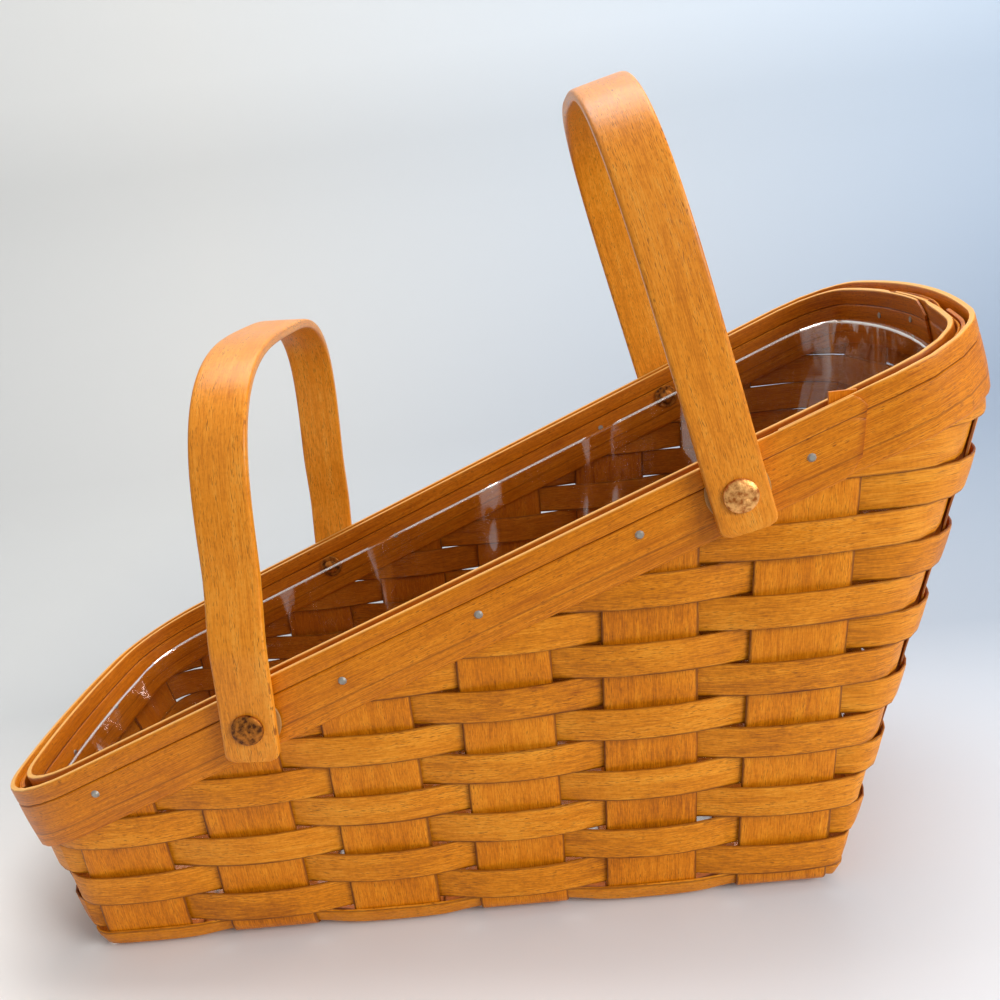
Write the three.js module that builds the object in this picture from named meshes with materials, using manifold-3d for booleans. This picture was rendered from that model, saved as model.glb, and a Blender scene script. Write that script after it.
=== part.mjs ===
// A slant-top splint basket: a woven body of flat wooden stakes and weavers,
// two rim bands along the slant, two bentwood hoop handles that turn on
// rivets, and a clear liner that lifts out. Millimetres, +Z up, the tall end
// towards +X. Shapes are drawn from the middle of the base; at the end the
// whole is moved so that the origin is under the middle of its overall length.

import * as THREE from 'three';
import { mergeVertices } from 'three/addons/utils/BufferGeometryUtils.js';
import Module from 'manifold-3d';

const wasm = await Module();
wasm.setup();

// Body, measured at the middle of the wall's thickness
const BASE_LENGTH = 287.1;
const BASE_WIDTH = 149.1;
const SIDE_FLARE = 0.0402;
const LOW_END_FLARE = 0.421;
const TALL_END_FLARE = 0.3535;
const FLARE_TOP_BELOW_BAND = 5.1;
const TALL_END_LEAN_IN = 0.214;
const LOW_RIM_HEIGHT = 69;
const TALL_RIM_HEIGHT = 210.9;
const BASE_CORNER_RADIUS = 4;
const LOW_RIM_CORNER_RADIUS = 34;
const TALL_RIM_CORNER_RADIUS = 34;
const BASE_END_BOW = 0.5;
const LOW_RIM_END_BOW = 9;
const TALL_RIM_END_BOW = 12;

// Splints
const STAKE_THICKNESS = 1.2;
const STAKE_WIDTH = 33.8;
const END_STAKE_INSET = 21.8;
const SIDE_STAKE_INSET = 25.85;
const CROSS_STAKES = 6;
const LONG_STAKES = 3;
const STAKE_LEAN = 0.03;
const STAKE_FAN = 0.0005;
const END_STAKE_FAN = 0.03;
const STAKE_TOP_DROP = 2.5;
const WEAVER_THICKNESS = 1.0;
const WEAVER_WIDTH = 12.4;
const FIRST_ROW_BOTTOM = 10.8;
const WEAVER_EASE = 1.5;
const LEAST_ROW_HEIGHT = 5;

// Base edge, where the stakes turn up: the lowest row is tucked round the bend
// with its lower part
const BEND_TOP = 8.1;
const TUCKED_ROW_ANGLES = [32, 60, 90];

// Rim
const RIM_WEAVER_WIDTH = 16;
const RIM_WEAVER_DROP = 2.5;
const BAND_WIDTH = 26.8;
const BAND_THICKNESS = 2.0;
const BAND_GROOVE_DEPTH = 0.5;
const BAND_GROOVE_HALF_WIDTH = 0.5;
const BAND_GROOVE_PLACE = 0.27;
const BAND_CREASE_PLACE = 0.76;
const BAND_EDGE_THICKNESS = 1.3;
const LAP_LENGTH = 36;
const LAP_TIP_THICKNESS = 0.9;
const LAP_TIP_LENGTH = 5;
const OUTER_LAP_INSET = 47.066;
const INNER_LAP_Y = -22;

// Clearances between pieces that touch
const GAP = 0.3;
const BAND_GAP = 0.6;

// Handles: hoops whose crowns are superellipses, each set beside the middle of
// a cross stake
const HANDLE_WIDTH = 19.5;
const HANDLE_THICKNESS = 4;
const HANDLE_CHAMFER = 0.8;
const HANDLE_END_LENGTH = 13;
const HANDLE_END_RADIUS = 3;
const LEG_FLAT = 10;
const LEG_FLARE_TOP = 28;
const LOW_HANDLE = {
  stake: 4, offset: 10.85, height: 129, crown: 71, halfWidth: 85, power: 3.3, lean: 3.8,
};
const TALL_HANDLE = {
  stake: 0, offset: -9.75, height: 137.8, crown: 95, halfWidth: 92.3, power: 3.2, lean: -12.3,
};

// Rivets and washers
const RIVET_DROP = 13;
const RIVET_SHANK_RADIUS = 2.5;
const RIVET_HEAD_RADIUS = 5.75;
const RIVET_HEAD_HEIGHT = 1.9;
const PEEN_RADIUS = 3.3;
const PEEN_HEIGHT = 0.9;
const BURR_RADIUS = 5.25;
const BURR_THICKNESS = 0.8;
const SPACER_RADIUS = 10.8;
const SPACER_THICKNESS = 0.8;

// Liner
const LINER_THICKNESS = 1;
const LINER_INSET = 8.2;
const LINER_DROP = 12;
const LINER_CLEARANCE = 1.2;
const LINER_CORNER_RADIUS = 7;

// Facets
const CORNER_STEPS = 6;
const END_STEPS = 5;
const RIVET_SIDES = 14;
const WASHER_SIDES = 12;
const RIVET_HOLE_SIDES = 8;
const CROWN_STEPS = 11;

const DEG = Math.PI / 180;
const halfLength = BASE_LENGTH / 2;
const halfWidth = BASE_WIDTH / 2;
const stakeHalf = STAKE_THICKNESS / 2;
const weaverNear = stakeHalf + GAP;
const weaverFar = weaverNear + WEAVER_THICKNESS;
const bandNear = weaverFar + BAND_GAP;
const bandFar = bandNear + BAND_THICKNESS;

// The wall. The tall end flares up to a little below the bands, which draw it
// inwards.

const flareTop = TALL_RIM_HEIGHT - BAND_WIDTH - FLARE_TOP_BELOW_BAND;
const lowEndX = (z) => -(halfLength + LOW_END_FLARE * z);
const tallEndX = (z) => halfLength + TALL_END_FLARE * Math.min(z, flareTop)
  - TALL_END_LEAN_IN * Math.max(z - flareTop, 0);
const sideY = (z) => halfWidth + SIDE_FLARE * z;
const between = (atBase, atRim, share) => atBase + (atRim - atBase) * share;

const rimSlope =
  (TALL_RIM_HEIGHT - LOW_RIM_HEIGHT) / (tallEndX(TALL_RIM_HEIGHT) - lowEndX(LOW_RIM_HEIGHT));
const rimZ = (x) => LOW_RIM_HEIGHT + rimSlope * (x - lowEndX(LOW_RIM_HEIGHT));

// The outline of the wall at height z, counted from the near side's x = 0
// towards the tall end, as four walls and four rounded corners. Each end is
// bowed by a small angle either way, which grows from the base to the rim. It
// can be drawn inside the wall, with the corner that it has at the base.
function outline(z, inset = 0, baseRadius = BASE_CORNER_RADIUS, tallLimit = Infinity) {
  const lowShare = z / LOW_RIM_HEIGHT;
  const tallShare = z / TALL_RIM_HEIGHT;
  const lowR = between(baseRadius, LOW_RIM_CORNER_RADIUS - inset, lowShare);
  const tallR = between(baseRadius, TALL_RIM_CORNER_RADIUS - inset, tallShare);
  const lowBow = between(BASE_END_BOW, LOW_RIM_END_BOW, lowShare);
  const tallBow = between(BASE_END_BOW, TALL_RIM_END_BOW, tallShare);
  const lowX = lowEndX(z) + inset;
  const tallX = Math.min(tallEndX(z) - inset, tallLimit);
  const y = sideY(z) - inset;
  const line = (x0, y0, x1, y1) => ({ x0, y0, x1, y1, length: Math.hypot(x1 - x0, y1 - y0) });
  const arc = (cx, cy, r, from, turn) => ({ cx, cy, r, from, length: r * turn * DEG });
  const end = (apexX, direction, r, bow) => {
    const endR = (y - r) / Math.sin(bow * DEG) + r;
    const cx = apexX - direction * endR;
    return { cx, endR, cornerX: cx + direction * (endR - r) * Math.cos(bow * DEG) };
  };
  const tall = end(tallX, 1, tallR, tallBow);
  const low = end(lowX, -1, lowR, lowBow);
  return [
    line(0, -y, tall.cornerX, -y),
    arc(tall.cornerX, -y + tallR, tallR, -90, 90 - tallBow),
    arc(tall.cx, 0, tall.endR, -tallBow, 2 * tallBow),
    arc(tall.cornerX, y - tallR, tallR, tallBow, 90 - tallBow),
    line(tall.cornerX, y, low.cornerX, y),
    arc(low.cornerX, y - lowR, lowR, 90, 90 - lowBow),
    arc(low.cx, 0, low.endR, 180 - lowBow, 2 * lowBow),
    arc(low.cornerX, -y + lowR, lowR, 180 + lowBow, 90 - lowBow),
    line(low.cornerX, -y, 0, -y),
  ];
}

const startOf = (stretches, index) =>
  stretches.slice(0, index).reduce((sum, stretch) => sum + stretch.length, 0);

// The point of the outline at distance s, moved outwards by n.
function wallPoint(s, z, n, height = z) {
  const stretches = outline(z);
  const total = startOf(stretches, stretches.length);
  let rest = ((s % total) + total) % total;
  let stretch = stretches[stretches.length - 1];
  for (const candidate of stretches) {
    if (rest <= candidate.length) {
      stretch = candidate;
      break;
    }
    rest -= candidate.length;
  }
  if (stretch.r === undefined) {
    const t = rest / stretch.length;
    const dx = (stretch.x1 - stretch.x0) / stretch.length;
    const dy = (stretch.y1 - stretch.y0) / stretch.length;
    const x = stretch.x0 + t * (stretch.x1 - stretch.x0) + n * dy;
    const y = stretch.y0 + t * (stretch.y1 - stretch.y0) - n * dx;
    return new THREE.Vector3(x, y, height);
  }
  const angle = stretch.from * DEG + rest / stretch.r;
  const reach = stretch.r + n;
  return new THREE.Vector3(
    stretch.cx + reach * Math.cos(angle), stretch.cy + reach * Math.sin(angle), height);
}

// Distance along the outline of a place on one of the four walls, measured on
// an end from its middle.
const onNear = (x) => () => x;
const onFar = (x) => (z) => {
  const stretches = outline(z);
  return startOf(stretches, 4) + stretches[4].x0 - x;
};
const onTallEnd = (y) => (z) => {
  const stretches = outline(z);
  return startOf(stretches, 2) + stretches[2].length / 2 + y;
};
const onLowEnd = (y) => (z) => {
  const stretches = outline(z);
  return startOf(stretches, 6) + stretches[6].length / 2 - y;
};

// The point of the wall that lies a drop below the rim's top plane.
function rimPoint(place, drop, n) {
  let z = LOW_RIM_HEIGHT;
  let point = null;
  for (let round = 0; round < 12; round += 1) {
    point = wallPoint(place(z), z, n);
    z = rimZ(point.x) - drop;
  }
  point.z = z;
  return point;
}

// Solids

function geometryOf(points, triangles) {
  const geometry = new THREE.BufferGeometry();
  const position = points.flatMap((p) => [p.x, p.y, p.z]);
  geometry.setAttribute('position', new THREE.Float32BufferAttribute(position, 3));
  geometry.setIndex(triangles.flat());
  return geometry;
}

function signedVolume(points, triangles) {
  return triangles.reduce((sum, [a, b, c]) => {
    const cross = new THREE.Vector3().crossVectors(points[b], points[c]);
    return sum + points[a].dot(cross);
  }, 0);
}

// A closed body through a row of sections, each the same number of points.
// A ring joins its last section to its first, any other row gets end caps.
function loft(sections, ring = false) {
  const count = sections[0].length;
  const points = sections.flat();
  const triangles = [];
  const bands = ring ? sections.length : sections.length - 1;
  for (let i = 0; i < bands; i += 1) {
    const a = i * count;
    const b = ((i + 1) % sections.length) * count;
    for (let j = 0; j < count; j += 1) {
      const k = (j + 1) % count;
      triangles.push([a + j, b + j, b + k], [a + j, b + k, a + k]);
    }
  }
  if (!ring) {
    const last = (sections.length - 1) * count;
    for (const [a, b, c] of capTriangles(sections[0])) {
      triangles.push([a, b, c]);
    }
    for (const [a, b, c] of capTriangles(sections[sections.length - 1])) {
      triangles.push([last + c, last + b, last + a]);
    }
  }
  const outward = signedVolume(points, triangles) > 0;
  return geometryOf(points, outward ? triangles : triangles.map(([a, b, c]) => [a, c, b]));
}

// Triangles over a flat section, in the section's own order of points.
function capTriangles(section) {
  const normal = new THREE.Vector3();
  section.forEach((p, i) => {
    const next = section[(i + 1) % section.length];
    normal.add(new THREE.Vector3().crossVectors(p, next));
  });
  normal.normalize();
  const across = section[1].clone().sub(section[0]);
  across.addScaledVector(normal, -across.dot(normal)).normalize();
  const up = new THREE.Vector3().crossVectors(normal, across);
  const flat = section.map((p) => new THREE.Vector2(p.dot(across), p.dot(up)));
  return THREE.ShapeUtils.triangulateShape(flat, []);
}

function toSolid(geometry) {
  const bare = geometry.clone();
  bare.deleteAttribute('normal');
  bare.deleteAttribute('uv');
  const merged = mergeVertices(bare, 1e-4);
  return new wasm.Manifold(new wasm.Mesh({
    numProp: 3,
    vertProperties: new Float32Array(merged.attributes.position.array),
    triVerts: new Uint32Array(merged.index.array),
  }));
}

function toGeometry(solid) {
  const mesh = solid.getMesh();
  const geometry = new THREE.BufferGeometry();
  geometry.setAttribute('position', new THREE.BufferAttribute(mesh.vertProperties, 3));
  geometry.setIndex(new THREE.BufferAttribute(mesh.triVerts, 1));
  return geometry;
}

// All space below the plane that lies a drop under the rim's top plane.
function belowRim(drop) {
  const reach = 2 * BASE_LENGTH;
  const shape = new THREE.Shape();
  shape.moveTo(-reach, -reach);
  shape.lineTo(reach, -reach);
  shape.lineTo(reach, rimZ(reach) - drop);
  shape.lineTo(-reach, rimZ(-reach) - drop);
  shape.closePath();
  const geometry = new THREE.ExtrudeGeometry(shape, { depth: reach, bevelEnabled: false });
  geometry.rotateX(Math.PI / 2);
  geometry.translate(0, reach / 2, 0);
  return toSolid(geometry);
}

// Stakes

const crossPitch = (BASE_LENGTH - 2 * END_STAKE_INSET) / (CROSS_STAKES - 1);
const longPitch = (BASE_WIDTH - 2 * SIDE_STAKE_INSET) / (LONG_STAKES - 1);
const crossStakeX = (index, z) => {
  const x = crossPitch * ((CROSS_STAKES - 1) / 2 - index);
  return x + (STAKE_LEAN + STAKE_FAN * x) * z;
};
const longStakeY = (index, z) => {
  const row = index - (LONG_STAKES - 1) / 2;
  return row * (longPitch + END_STAKE_FAN * z);
};

// Where across its width a stake is bent: the outer long stakes follow the
// rounded corners with their outer part.
const FLAT_COLUMNS = [0, 1];
const BOWED_COLUMNS = [0, 0.5, 1];
const LAST_CROSS_COLUMNS = [0, 0.2, 1];
const crossStakeColumns = (index) =>
  (index === CROSS_STAKES - 1 ? LAST_CROSS_COLUMNS : FLAT_COLUMNS);
const CORNER_COLUMNS = [0, 0.46, 0.73, 1];
function longStakeColumns(index) {
  if (index === 0) return CORNER_COLUMNS.map((u) => 1 - u).reverse();
  return index === LONG_STAKES - 1 ? CORNER_COLUMNS : BOWED_COLUMNS;
}
const columnOffset = (u) => (u - 0.5) * STAKE_WIDTH;

// The long stakes pass over and under the cross stakes in the base.
const crossLayer = STAKE_THICKNESS + GAP + stakeHalf;
const underLayer = stakeHalf;
const overLayer = 2 * crossLayer - underLayer;
const longIsOver = (long, cross) => (long + cross) % 2 === 0;
const longLayer = (long, cross) => (longIsOver(long, cross) ? overLayer : underLayer);

// A place on the bend at the base edge, as an outward offset and a height.
function bendPoint(place, layer, angle, n) {
  const radius = BEND_TOP - layer;
  const offset = (radius + n) * Math.sin(angle) - radius;
  return wallPoint(place(BEND_TOP), BEND_TOP, offset, BEND_TOP - (radius + n) * Math.cos(angle));
}

const BEND_ANGLES = [90, 60, 30, 0];
const rowPitch = WEAVER_WIDTH + GAP;
const rowBottom = (row) => FIRST_ROW_BOTTOM + (row - 1) * rowPitch;
const topSafe = (z) => z + 2 * STAKE_TOP_DROP;

// The sections of one upright: columns across, outer face then inner face. One
// that follows a rounded corner has a section between each two rows.
function uprightSections(placeOf, columns, layer, topZ, rowsPerLevel = 1) {
  const section = (point) => [
    ...columns.map((u) => point(u, stakeHalf)),
    ...columns.map((u) => point(u, -stakeHalf)).reverse(),
  ];
  const levels = topZ > flareTop ? [topZ, flareTop] : [topZ];
  const top = Math.min(topZ, flareTop);
  const lastRow = columns.length > 2 ? Math.floor((top - FIRST_ROW_BOTTOM) / rowPitch) : 0;
  for (let row = lastRow; row >= 2; row -= rowsPerLevel) {
    levels.push(rowBottom(row) - GAP / 2);
  }
  const wall = levels.map((z) => section((u, n) => wallPoint(placeOf(u)(z), z, n)));
  const bend = BEND_ANGLES.map((angle) =>
    section((u, n) => bendPoint(placeOf(u), layer, angle * DEG, n)));
  return [...wall, ...bend];
}

function crossStake(index) {
  const placeNear = (u) => (z) => onNear(crossStakeX(index, z) + columnOffset(u))(z);
  const placeFar = (u) => (z) => onFar(crossStakeX(index, z) + columnOffset(u))(z);
  const topZ = topSafe(rimZ(crossStakeX(index, TALL_RIM_HEIGHT) + STAKE_WIDTH));
  const columns = crossStakeColumns(index);
  const near = uprightSections(placeNear, columns, crossLayer, topZ);
  const far = uprightSections(placeFar, columns, crossLayer, topZ);
  return loft([...near, ...far.reverse()]);
}

function longStake(index) {
  const columns = longStakeColumns(index);
  const placeLow = (u) => (z) => onLowEnd(longStakeY(index, z) + columnOffset(u))(z);
  const placeTall = (u) => (z) => onTallEnd(longStakeY(index, z) + columnOffset(u))(z);
  const last = CROSS_STAKES - 1;
  const low = uprightSections(
    placeLow, columns, longLayer(index, last), topSafe(LOW_RIM_HEIGHT));
  const tall = uprightSections(
    placeTall, columns, longLayer(index, 0), topSafe(TALL_RIM_HEIGHT), 2);
  const base = [];
  const section = (x, z) => {
    const y = (u) => longStakeY(index, 0) + columnOffset(u);
    return [
      ...columns.map((u) => new THREE.Vector3(x, y(u), z - stakeHalf)),
      ...columns.map((u) => new THREE.Vector3(x, y(u), z + stakeHalf)).reverse(),
    ];
  };
  for (let cross = last; cross >= 0; cross -= 1) {
    const x = crossStakeX(cross, 0);
    const reach = STAKE_WIDTH / 2 + WEAVER_EASE;
    base.push(section(x - reach, longLayer(index, cross)));
    base.push(section(x + reach, longLayer(index, cross)));
  }
  return loft([...low, ...base, ...tall.reverse()]);
}

// Weavers

const walls = [
  { on: onNear, count: CROSS_STAKES, order: -1, at: crossStakeX, columns: crossStakeColumns, phase: 1 },
  { on: onTallEnd, count: LONG_STAKES, order: 1, at: longStakeY, columns: longStakeColumns, phase: 0 },
  { on: onFar, count: CROSS_STAKES, order: 1, at: crossStakeX, columns: crossStakeColumns, phase: 1 },
  { on: onLowEnd, count: LONG_STAKES, order: -1, at: longStakeY, columns: longStakeColumns, phase: 1 },
];
const CORNER_FRACTIONS = [0.2, 0.4, 0.6, 0.8];

// The stakes in the order in which a row meets them, from the near side's low
// end towards the tall end: each with its places along the wall and its side.
function stakesOnTheWay(row) {
  return walls.flatMap((wall) => {
    const indices = [...Array(wall.count).keys()];
    if (wall.order < 0) indices.reverse();
    const forwards = wall.on === onNear || wall.on === onTallEnd;
    return indices.map((index, turn) => {
      const ease = WEAVER_EASE / STAKE_WIDTH;
      const columns = wall.columns(index);
      const inner = columns.length > 2 ? columns : [];
      const across = [...new Set([-ease, ...inner, 1 + ease])].sort((a, b) => a - b);
      if (!forwards) across.reverse();
      return {
        places: across.map((u) => (z) => wall.on(wall.at(index, z) + columnOffset(u))(z)),
        over: (row + index + wall.phase) % 2 === 0 ? 1 : -1,
        lastOnWall: turn === wall.count - 1,
        wall,
        index,
      };
    });
  });
}

// The route of a row: places along the wall, each with its share of the way
// from inside (-1) to outside (1) of the stakes. It runs against the order of
// the walls, so that its twisted faces split as those of the stakes do.
function weaverRoute(row) {
  const stakes = stakesOnTheWay(row);
  const stops = stakes.flatMap((stake, i) => {
    const next = stakes[(i + 1) % stakes.length];
    const along = stake.places.map((place) => ({ place, side: stake.over, stake }));
    if (!stake.lastOnWall) return along;
    const from = stake.places[stake.places.length - 1];
    const to = next.places[0];
    const round = CORNER_FRACTIONS.map((f) => ({
      place: (z) => {
        const a = from(z);
        const total = startOf(outline(z), 9);
        const b = to(z) < a ? to(z) + total : to(z);
        return a + (b - a) * f;
      },
      side: stake.over * Math.cos(Math.PI * f),
      stake,
    }));
    return [...along, ...round];
  });
  return stops.reverse();
}

const weaverMiddle = (weaverNear + weaverFar) / 2;

function weaverRing(row) {
  const low = rowBottom(row);
  const high = low + WEAVER_WIDTH;
  const half = WEAVER_THICKNESS / 2;
  const bent = low < flareTop && flareTop < high;
  const levels = bent ? [low, flareTop, high] : [low, high];
  const sections = weaverRoute(row).map(({ place, side }) => {
    const n = side * weaverMiddle;
    return [
      ...levels.map((z) => wallPoint(place(z), z, n + half)),
      ...levels.map((z) => wallPoint(place(z), z, n - half)).reverse(),
    ];
  });
  return loft(sections, true);
}

// The lowest row follows the bend at the base edge, then the wall up to the
// next row.
function tuckedWeaver() {
  const half = WEAVER_THICKNESS / 2;
  const top = rowBottom(1) - GAP;
  const layerOf = ({ stake, side }) => {
    if (stake.wall.at === crossStakeX || Math.abs(side) < 1) return crossLayer;
    return longLayer(stake.index, stake.wall.on === onTallEnd ? 0 : CROSS_STAKES - 1);
  };
  const sections = weaverRoute(0).map((stop) => {
    const layer = layerOf(stop);
    const n = stop.side * weaverMiddle;
    const face = (reach) => [
      ...TUCKED_ROW_ANGLES.map((angle) => bendPoint(stop.place, layer, angle * DEG, reach)),
      wallPoint(stop.place(top), top, reach),
    ];
    return [...face(n + half), ...face(n - half).reverse()];
  });
  return loft(sections, true);
}

function rimWeaver() {
  const half = WEAVER_THICKNESS / 2;
  const low = RIM_WEAVER_DROP + RIM_WEAVER_WIDTH;
  const sections = weaverRoute(1).map(({ place, side }) => {
    const n = side * weaverMiddle;
    return [
      rimPoint(place, low, n - half),
      rimPoint(place, low, n + half),
      rimPoint(place, RIM_WEAVER_DROP, n + half),
      rimPoint(place, RIM_WEAVER_DROP, n - half),
    ];
  });
  return loft(sections, true);
}

// Rim bands

// Stops round one end, whose first corner is given: corner, bowed end, corner.
function endStops(first) {
  const stops = [0, 1, 2].flatMap((turn) => {
    const steps = turn === 1 ? END_STEPS : CORNER_STEPS;
    return [...Array(steps).keys()].map((step) => ({ index: first + turn, share: step / steps }));
  });
  stops.push({ index: first + 2, share: 1 });
  return stops.map(({ index, share }) => (z) => {
    const stretches = outline(z);
    return startOf(stretches, index) + stretches[index].length * share;
  });
}

// A band's section: the drop from the rim and the share of its thickness, from
// the face against the weave (0) to the face that shows (1).
const BAND_SECTION = [
  [0, 0],
  [1, 0],
  [1, BAND_EDGE_THICKNESS / BAND_THICKNESS],
  [BAND_CREASE_PLACE, 1],
  [BAND_GROOVE_PLACE + BAND_GROOVE_HALF_WIDTH / BAND_WIDTH, 1],
  [BAND_GROOVE_PLACE, 1 - BAND_GROOVE_DEPTH / BAND_THICKNESS],
  [BAND_GROOVE_PLACE - BAND_GROOVE_HALF_WIDTH / BAND_WIDTH, 1],
  [0, 1],
];

// A band from its tip on top, once round, to its tip underneath. The sign is 1
// outside the weave and -1 inside it.
function rimBand(sign, stops) {
  const sections = stops.map(({ place, near, far, shrink = 0 }) =>
    BAND_SECTION.map(([down, out]) => {
      const drop = BAND_WIDTH * (shrink + (1 - 2 * shrink) * down);
      return rimPoint(place, drop, sign * (near + (far - near) * out));
    }));
  return loft(sections);
}

const lapUnderFar = bandNear + LAP_TIP_THICKNESS;
const lapOverNear = lapUnderFar + GAP;
const lapOverFar = lapOverNear + LAP_TIP_THICKNESS;
const plain = (place) => ({ place, near: bandNear, far: bandFar });

// The lap: the end on top shows, the end underneath runs on below it.
function lapStops(on, tip, direction) {
  const at = (distance) => on(tip + direction * distance);
  const over = [
    { place: at(0), near: lapOverNear, far: lapOverFar, shrink: 0.14 },
    { place: at(LAP_TIP_LENGTH), near: lapOverNear, far: lapOverFar },
    { place: at(LAP_LENGTH), near: lapOverNear, far: lapOverFar },
    { place: at(LAP_LENGTH + LAP_TIP_LENGTH), near: bandNear, far: bandFar },
  ];
  const under = [
    { place: at(-LAP_TIP_LENGTH), near: bandNear, far: bandFar },
    { place: at(-GAP), near: bandNear, far: lapUnderFar },
    { place: at(LAP_LENGTH - LAP_TIP_LENGTH), near: bandNear, far: lapUnderFar },
  ];
  return { over, under };
}

function outerBand() {
  const { over, under } = lapStops(onNear, tallEndX(TALL_RIM_HEIGHT) - OUTER_LAP_INSET, -1);
  const ends = [5, 1].flatMap((first) => endStops(first).reverse());
  return rimBand(1, [...over, ...ends.map(plain), ...under]);
}

function innerBand() {
  const { over, under } = lapStops(onTallEnd, INNER_LAP_Y, 1);
  const sideStops = CORNER_STEPS + 2;
  const beyondLap = endStops(1).slice(-sideStops);
  const beforeLap = endStops(1).slice(0, sideStops);
  const stops = [...beyondLap, ...endStops(5), ...beforeLap];
  return rimBand(-1, [...over, ...stops.map(plain), ...under]);
}

// Rivets and washers, turned about local Z and then laid along the direction
// that points out of the basket.

function turned(profile, sides) {
  const points = profile.map(([radius, along]) => new THREE.Vector2(radius, along));
  const geometry = new THREE.LatheGeometry(points, sides);
  geometry.rotateX(Math.PI / 2);
  return geometry;
}

function aim(mesh, point, outwards) {
  mesh.position.copy(point);
  mesh.quaternion.setFromUnitVectors(new THREE.Vector3(0, 0, 1), outwards);
  return mesh;
}

function hole(radius, sides, length, point, outwards) {
  const geometry = new THREE.CylinderGeometry(radius, radius, length, sides);
  geometry.rotateX(Math.PI / 2);
  const carrier = aim(new THREE.Object3D(), point, outwards);
  carrier.updateMatrix();
  geometry.applyMatrix4(carrier.matrix);
  return toSolid(geometry);
}

// Places along a rivet, from the middle of the wall outwards.
const spacerTilt = SIDE_FLARE * SPACER_RADIUS;
const burrTilt = SIDE_FLARE * BURR_RADIUS;
const spacerNear = bandFar + spacerTilt + GAP;
const handleNear = spacerNear + SPACER_THICKNESS + GAP;
const handleFar = handleNear + HANDLE_THICKNESS;
const headNear = handleFar + GAP;
const burrFar = -(bandFar + burrTilt + GAP);
const burrNear = burrFar - BURR_THICKNESS;
const peenFar = burrNear - GAP;
const rivetHoleRadius = RIVET_SHANK_RADIUS + GAP;

function rivetGeometry() {
  const dome = 0.55;
  return turned([
    [0, peenFar - PEEN_HEIGHT],
    [PEEN_RADIUS * 0.7, peenFar - PEEN_HEIGHT * 0.8],
    [PEEN_RADIUS, peenFar],
    [RIVET_SHANK_RADIUS, peenFar],
    [RIVET_SHANK_RADIUS, headNear],
    [RIVET_HEAD_RADIUS, headNear],
    [RIVET_HEAD_RADIUS, headNear + RIVET_HEAD_HEIGHT * 0.45],
    [RIVET_HEAD_RADIUS * (1 - dome * 0.25), headNear + RIVET_HEAD_HEIGHT * 0.8],
    [RIVET_HEAD_RADIUS * dome, headNear + RIVET_HEAD_HEIGHT],
    [0, headNear + RIVET_HEAD_HEIGHT],
  ], RIVET_SIDES);
}

function washerGeometry(innerRadius, outerRadius, from, to) {
  return turned([
    [innerRadius, from], [outerRadius, from], [outerRadius, to], [innerRadius, to],
    [innerRadius, from],
  ], WASHER_SIDES);
}

const HANDLES = [
  { name: 'low', ...LOW_HANDLE },
  { name: 'tall', ...TALL_HANDLE },
].map((handle) => {
  const x = crossStakeX(handle.stake, 0) + handle.offset;
  const z = rimZ(x) - RIVET_DROP;
  return { ...handle, x, z, wall: sideY(z) };
});

function rivetPlaces() {
  return HANDLES.flatMap((handle) => [
    { name: `${handle.name}_near`, out: new THREE.Vector3(0, -1, 0) },
    { name: `${handle.name}_far`, out: new THREE.Vector3(0, 1, 0) },
  ].map((place) => ({
    ...place,
    point: new THREE.Vector3(handle.x, place.out.y * handle.wall, handle.z),
  })));
}

// Handles

// The outer face of one leg and half the crown, from the leg's end upwards: y
// is measured from the middle of the basket, h from the rivet's axis.
function hoopFace(handle) {
  const pivotY = handle.wall + handleFar;
  const shoulder = handle.height - handle.crown;
  const flareY = pivotY + SIDE_FLARE * (LEG_FLARE_TOP - LEG_FLAT);
  const face = [
    ...[0, 0.12, 0.5, 1].map((f) => [pivotY, -HANDLE_END_LENGTH + f * HANDLE_END_RADIUS]),
    [pivotY, LEG_FLAT],
    [flareY, LEG_FLARE_TOP],
  ];
  const easeSteps = 3;
  for (let step = 1; step < easeSteps; step += 1) {
    const f = step / easeSteps;
    const ease = f * f * (3 - 2 * f);
    const y = flareY + (handle.halfWidth - flareY) * ease;
    face.push([y, LEG_FLARE_TOP + (shoulder - LEG_FLARE_TOP) * f]);
  }
  for (let step = 0; step <= CROWN_STEPS; step += 1) {
    const angle = (Math.PI / 2) * (step / CROWN_STEPS);
    const y = handle.halfWidth * Math.cos(angle) ** (2 / handle.power);
    const h = shoulder + handle.crown * Math.sin(angle) ** (2 / handle.power);
    face.push([step === CROWN_STEPS ? 0 : y, h]);
  }
  return face;
}

// How wide the strip is at a distance from its rounded end.
function stripHalfWidth(h) {
  const fromEnd = h + HANDLE_END_LENGTH;
  const half = HANDLE_WIDTH / 2;
  if (fromEnd >= HANDLE_END_RADIUS) return half;
  const inset = HANDLE_END_RADIUS - fromEnd;
  return half - HANDLE_END_RADIUS + Math.sqrt(HANDLE_END_RADIUS ** 2 - inset ** 2);
}

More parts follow.
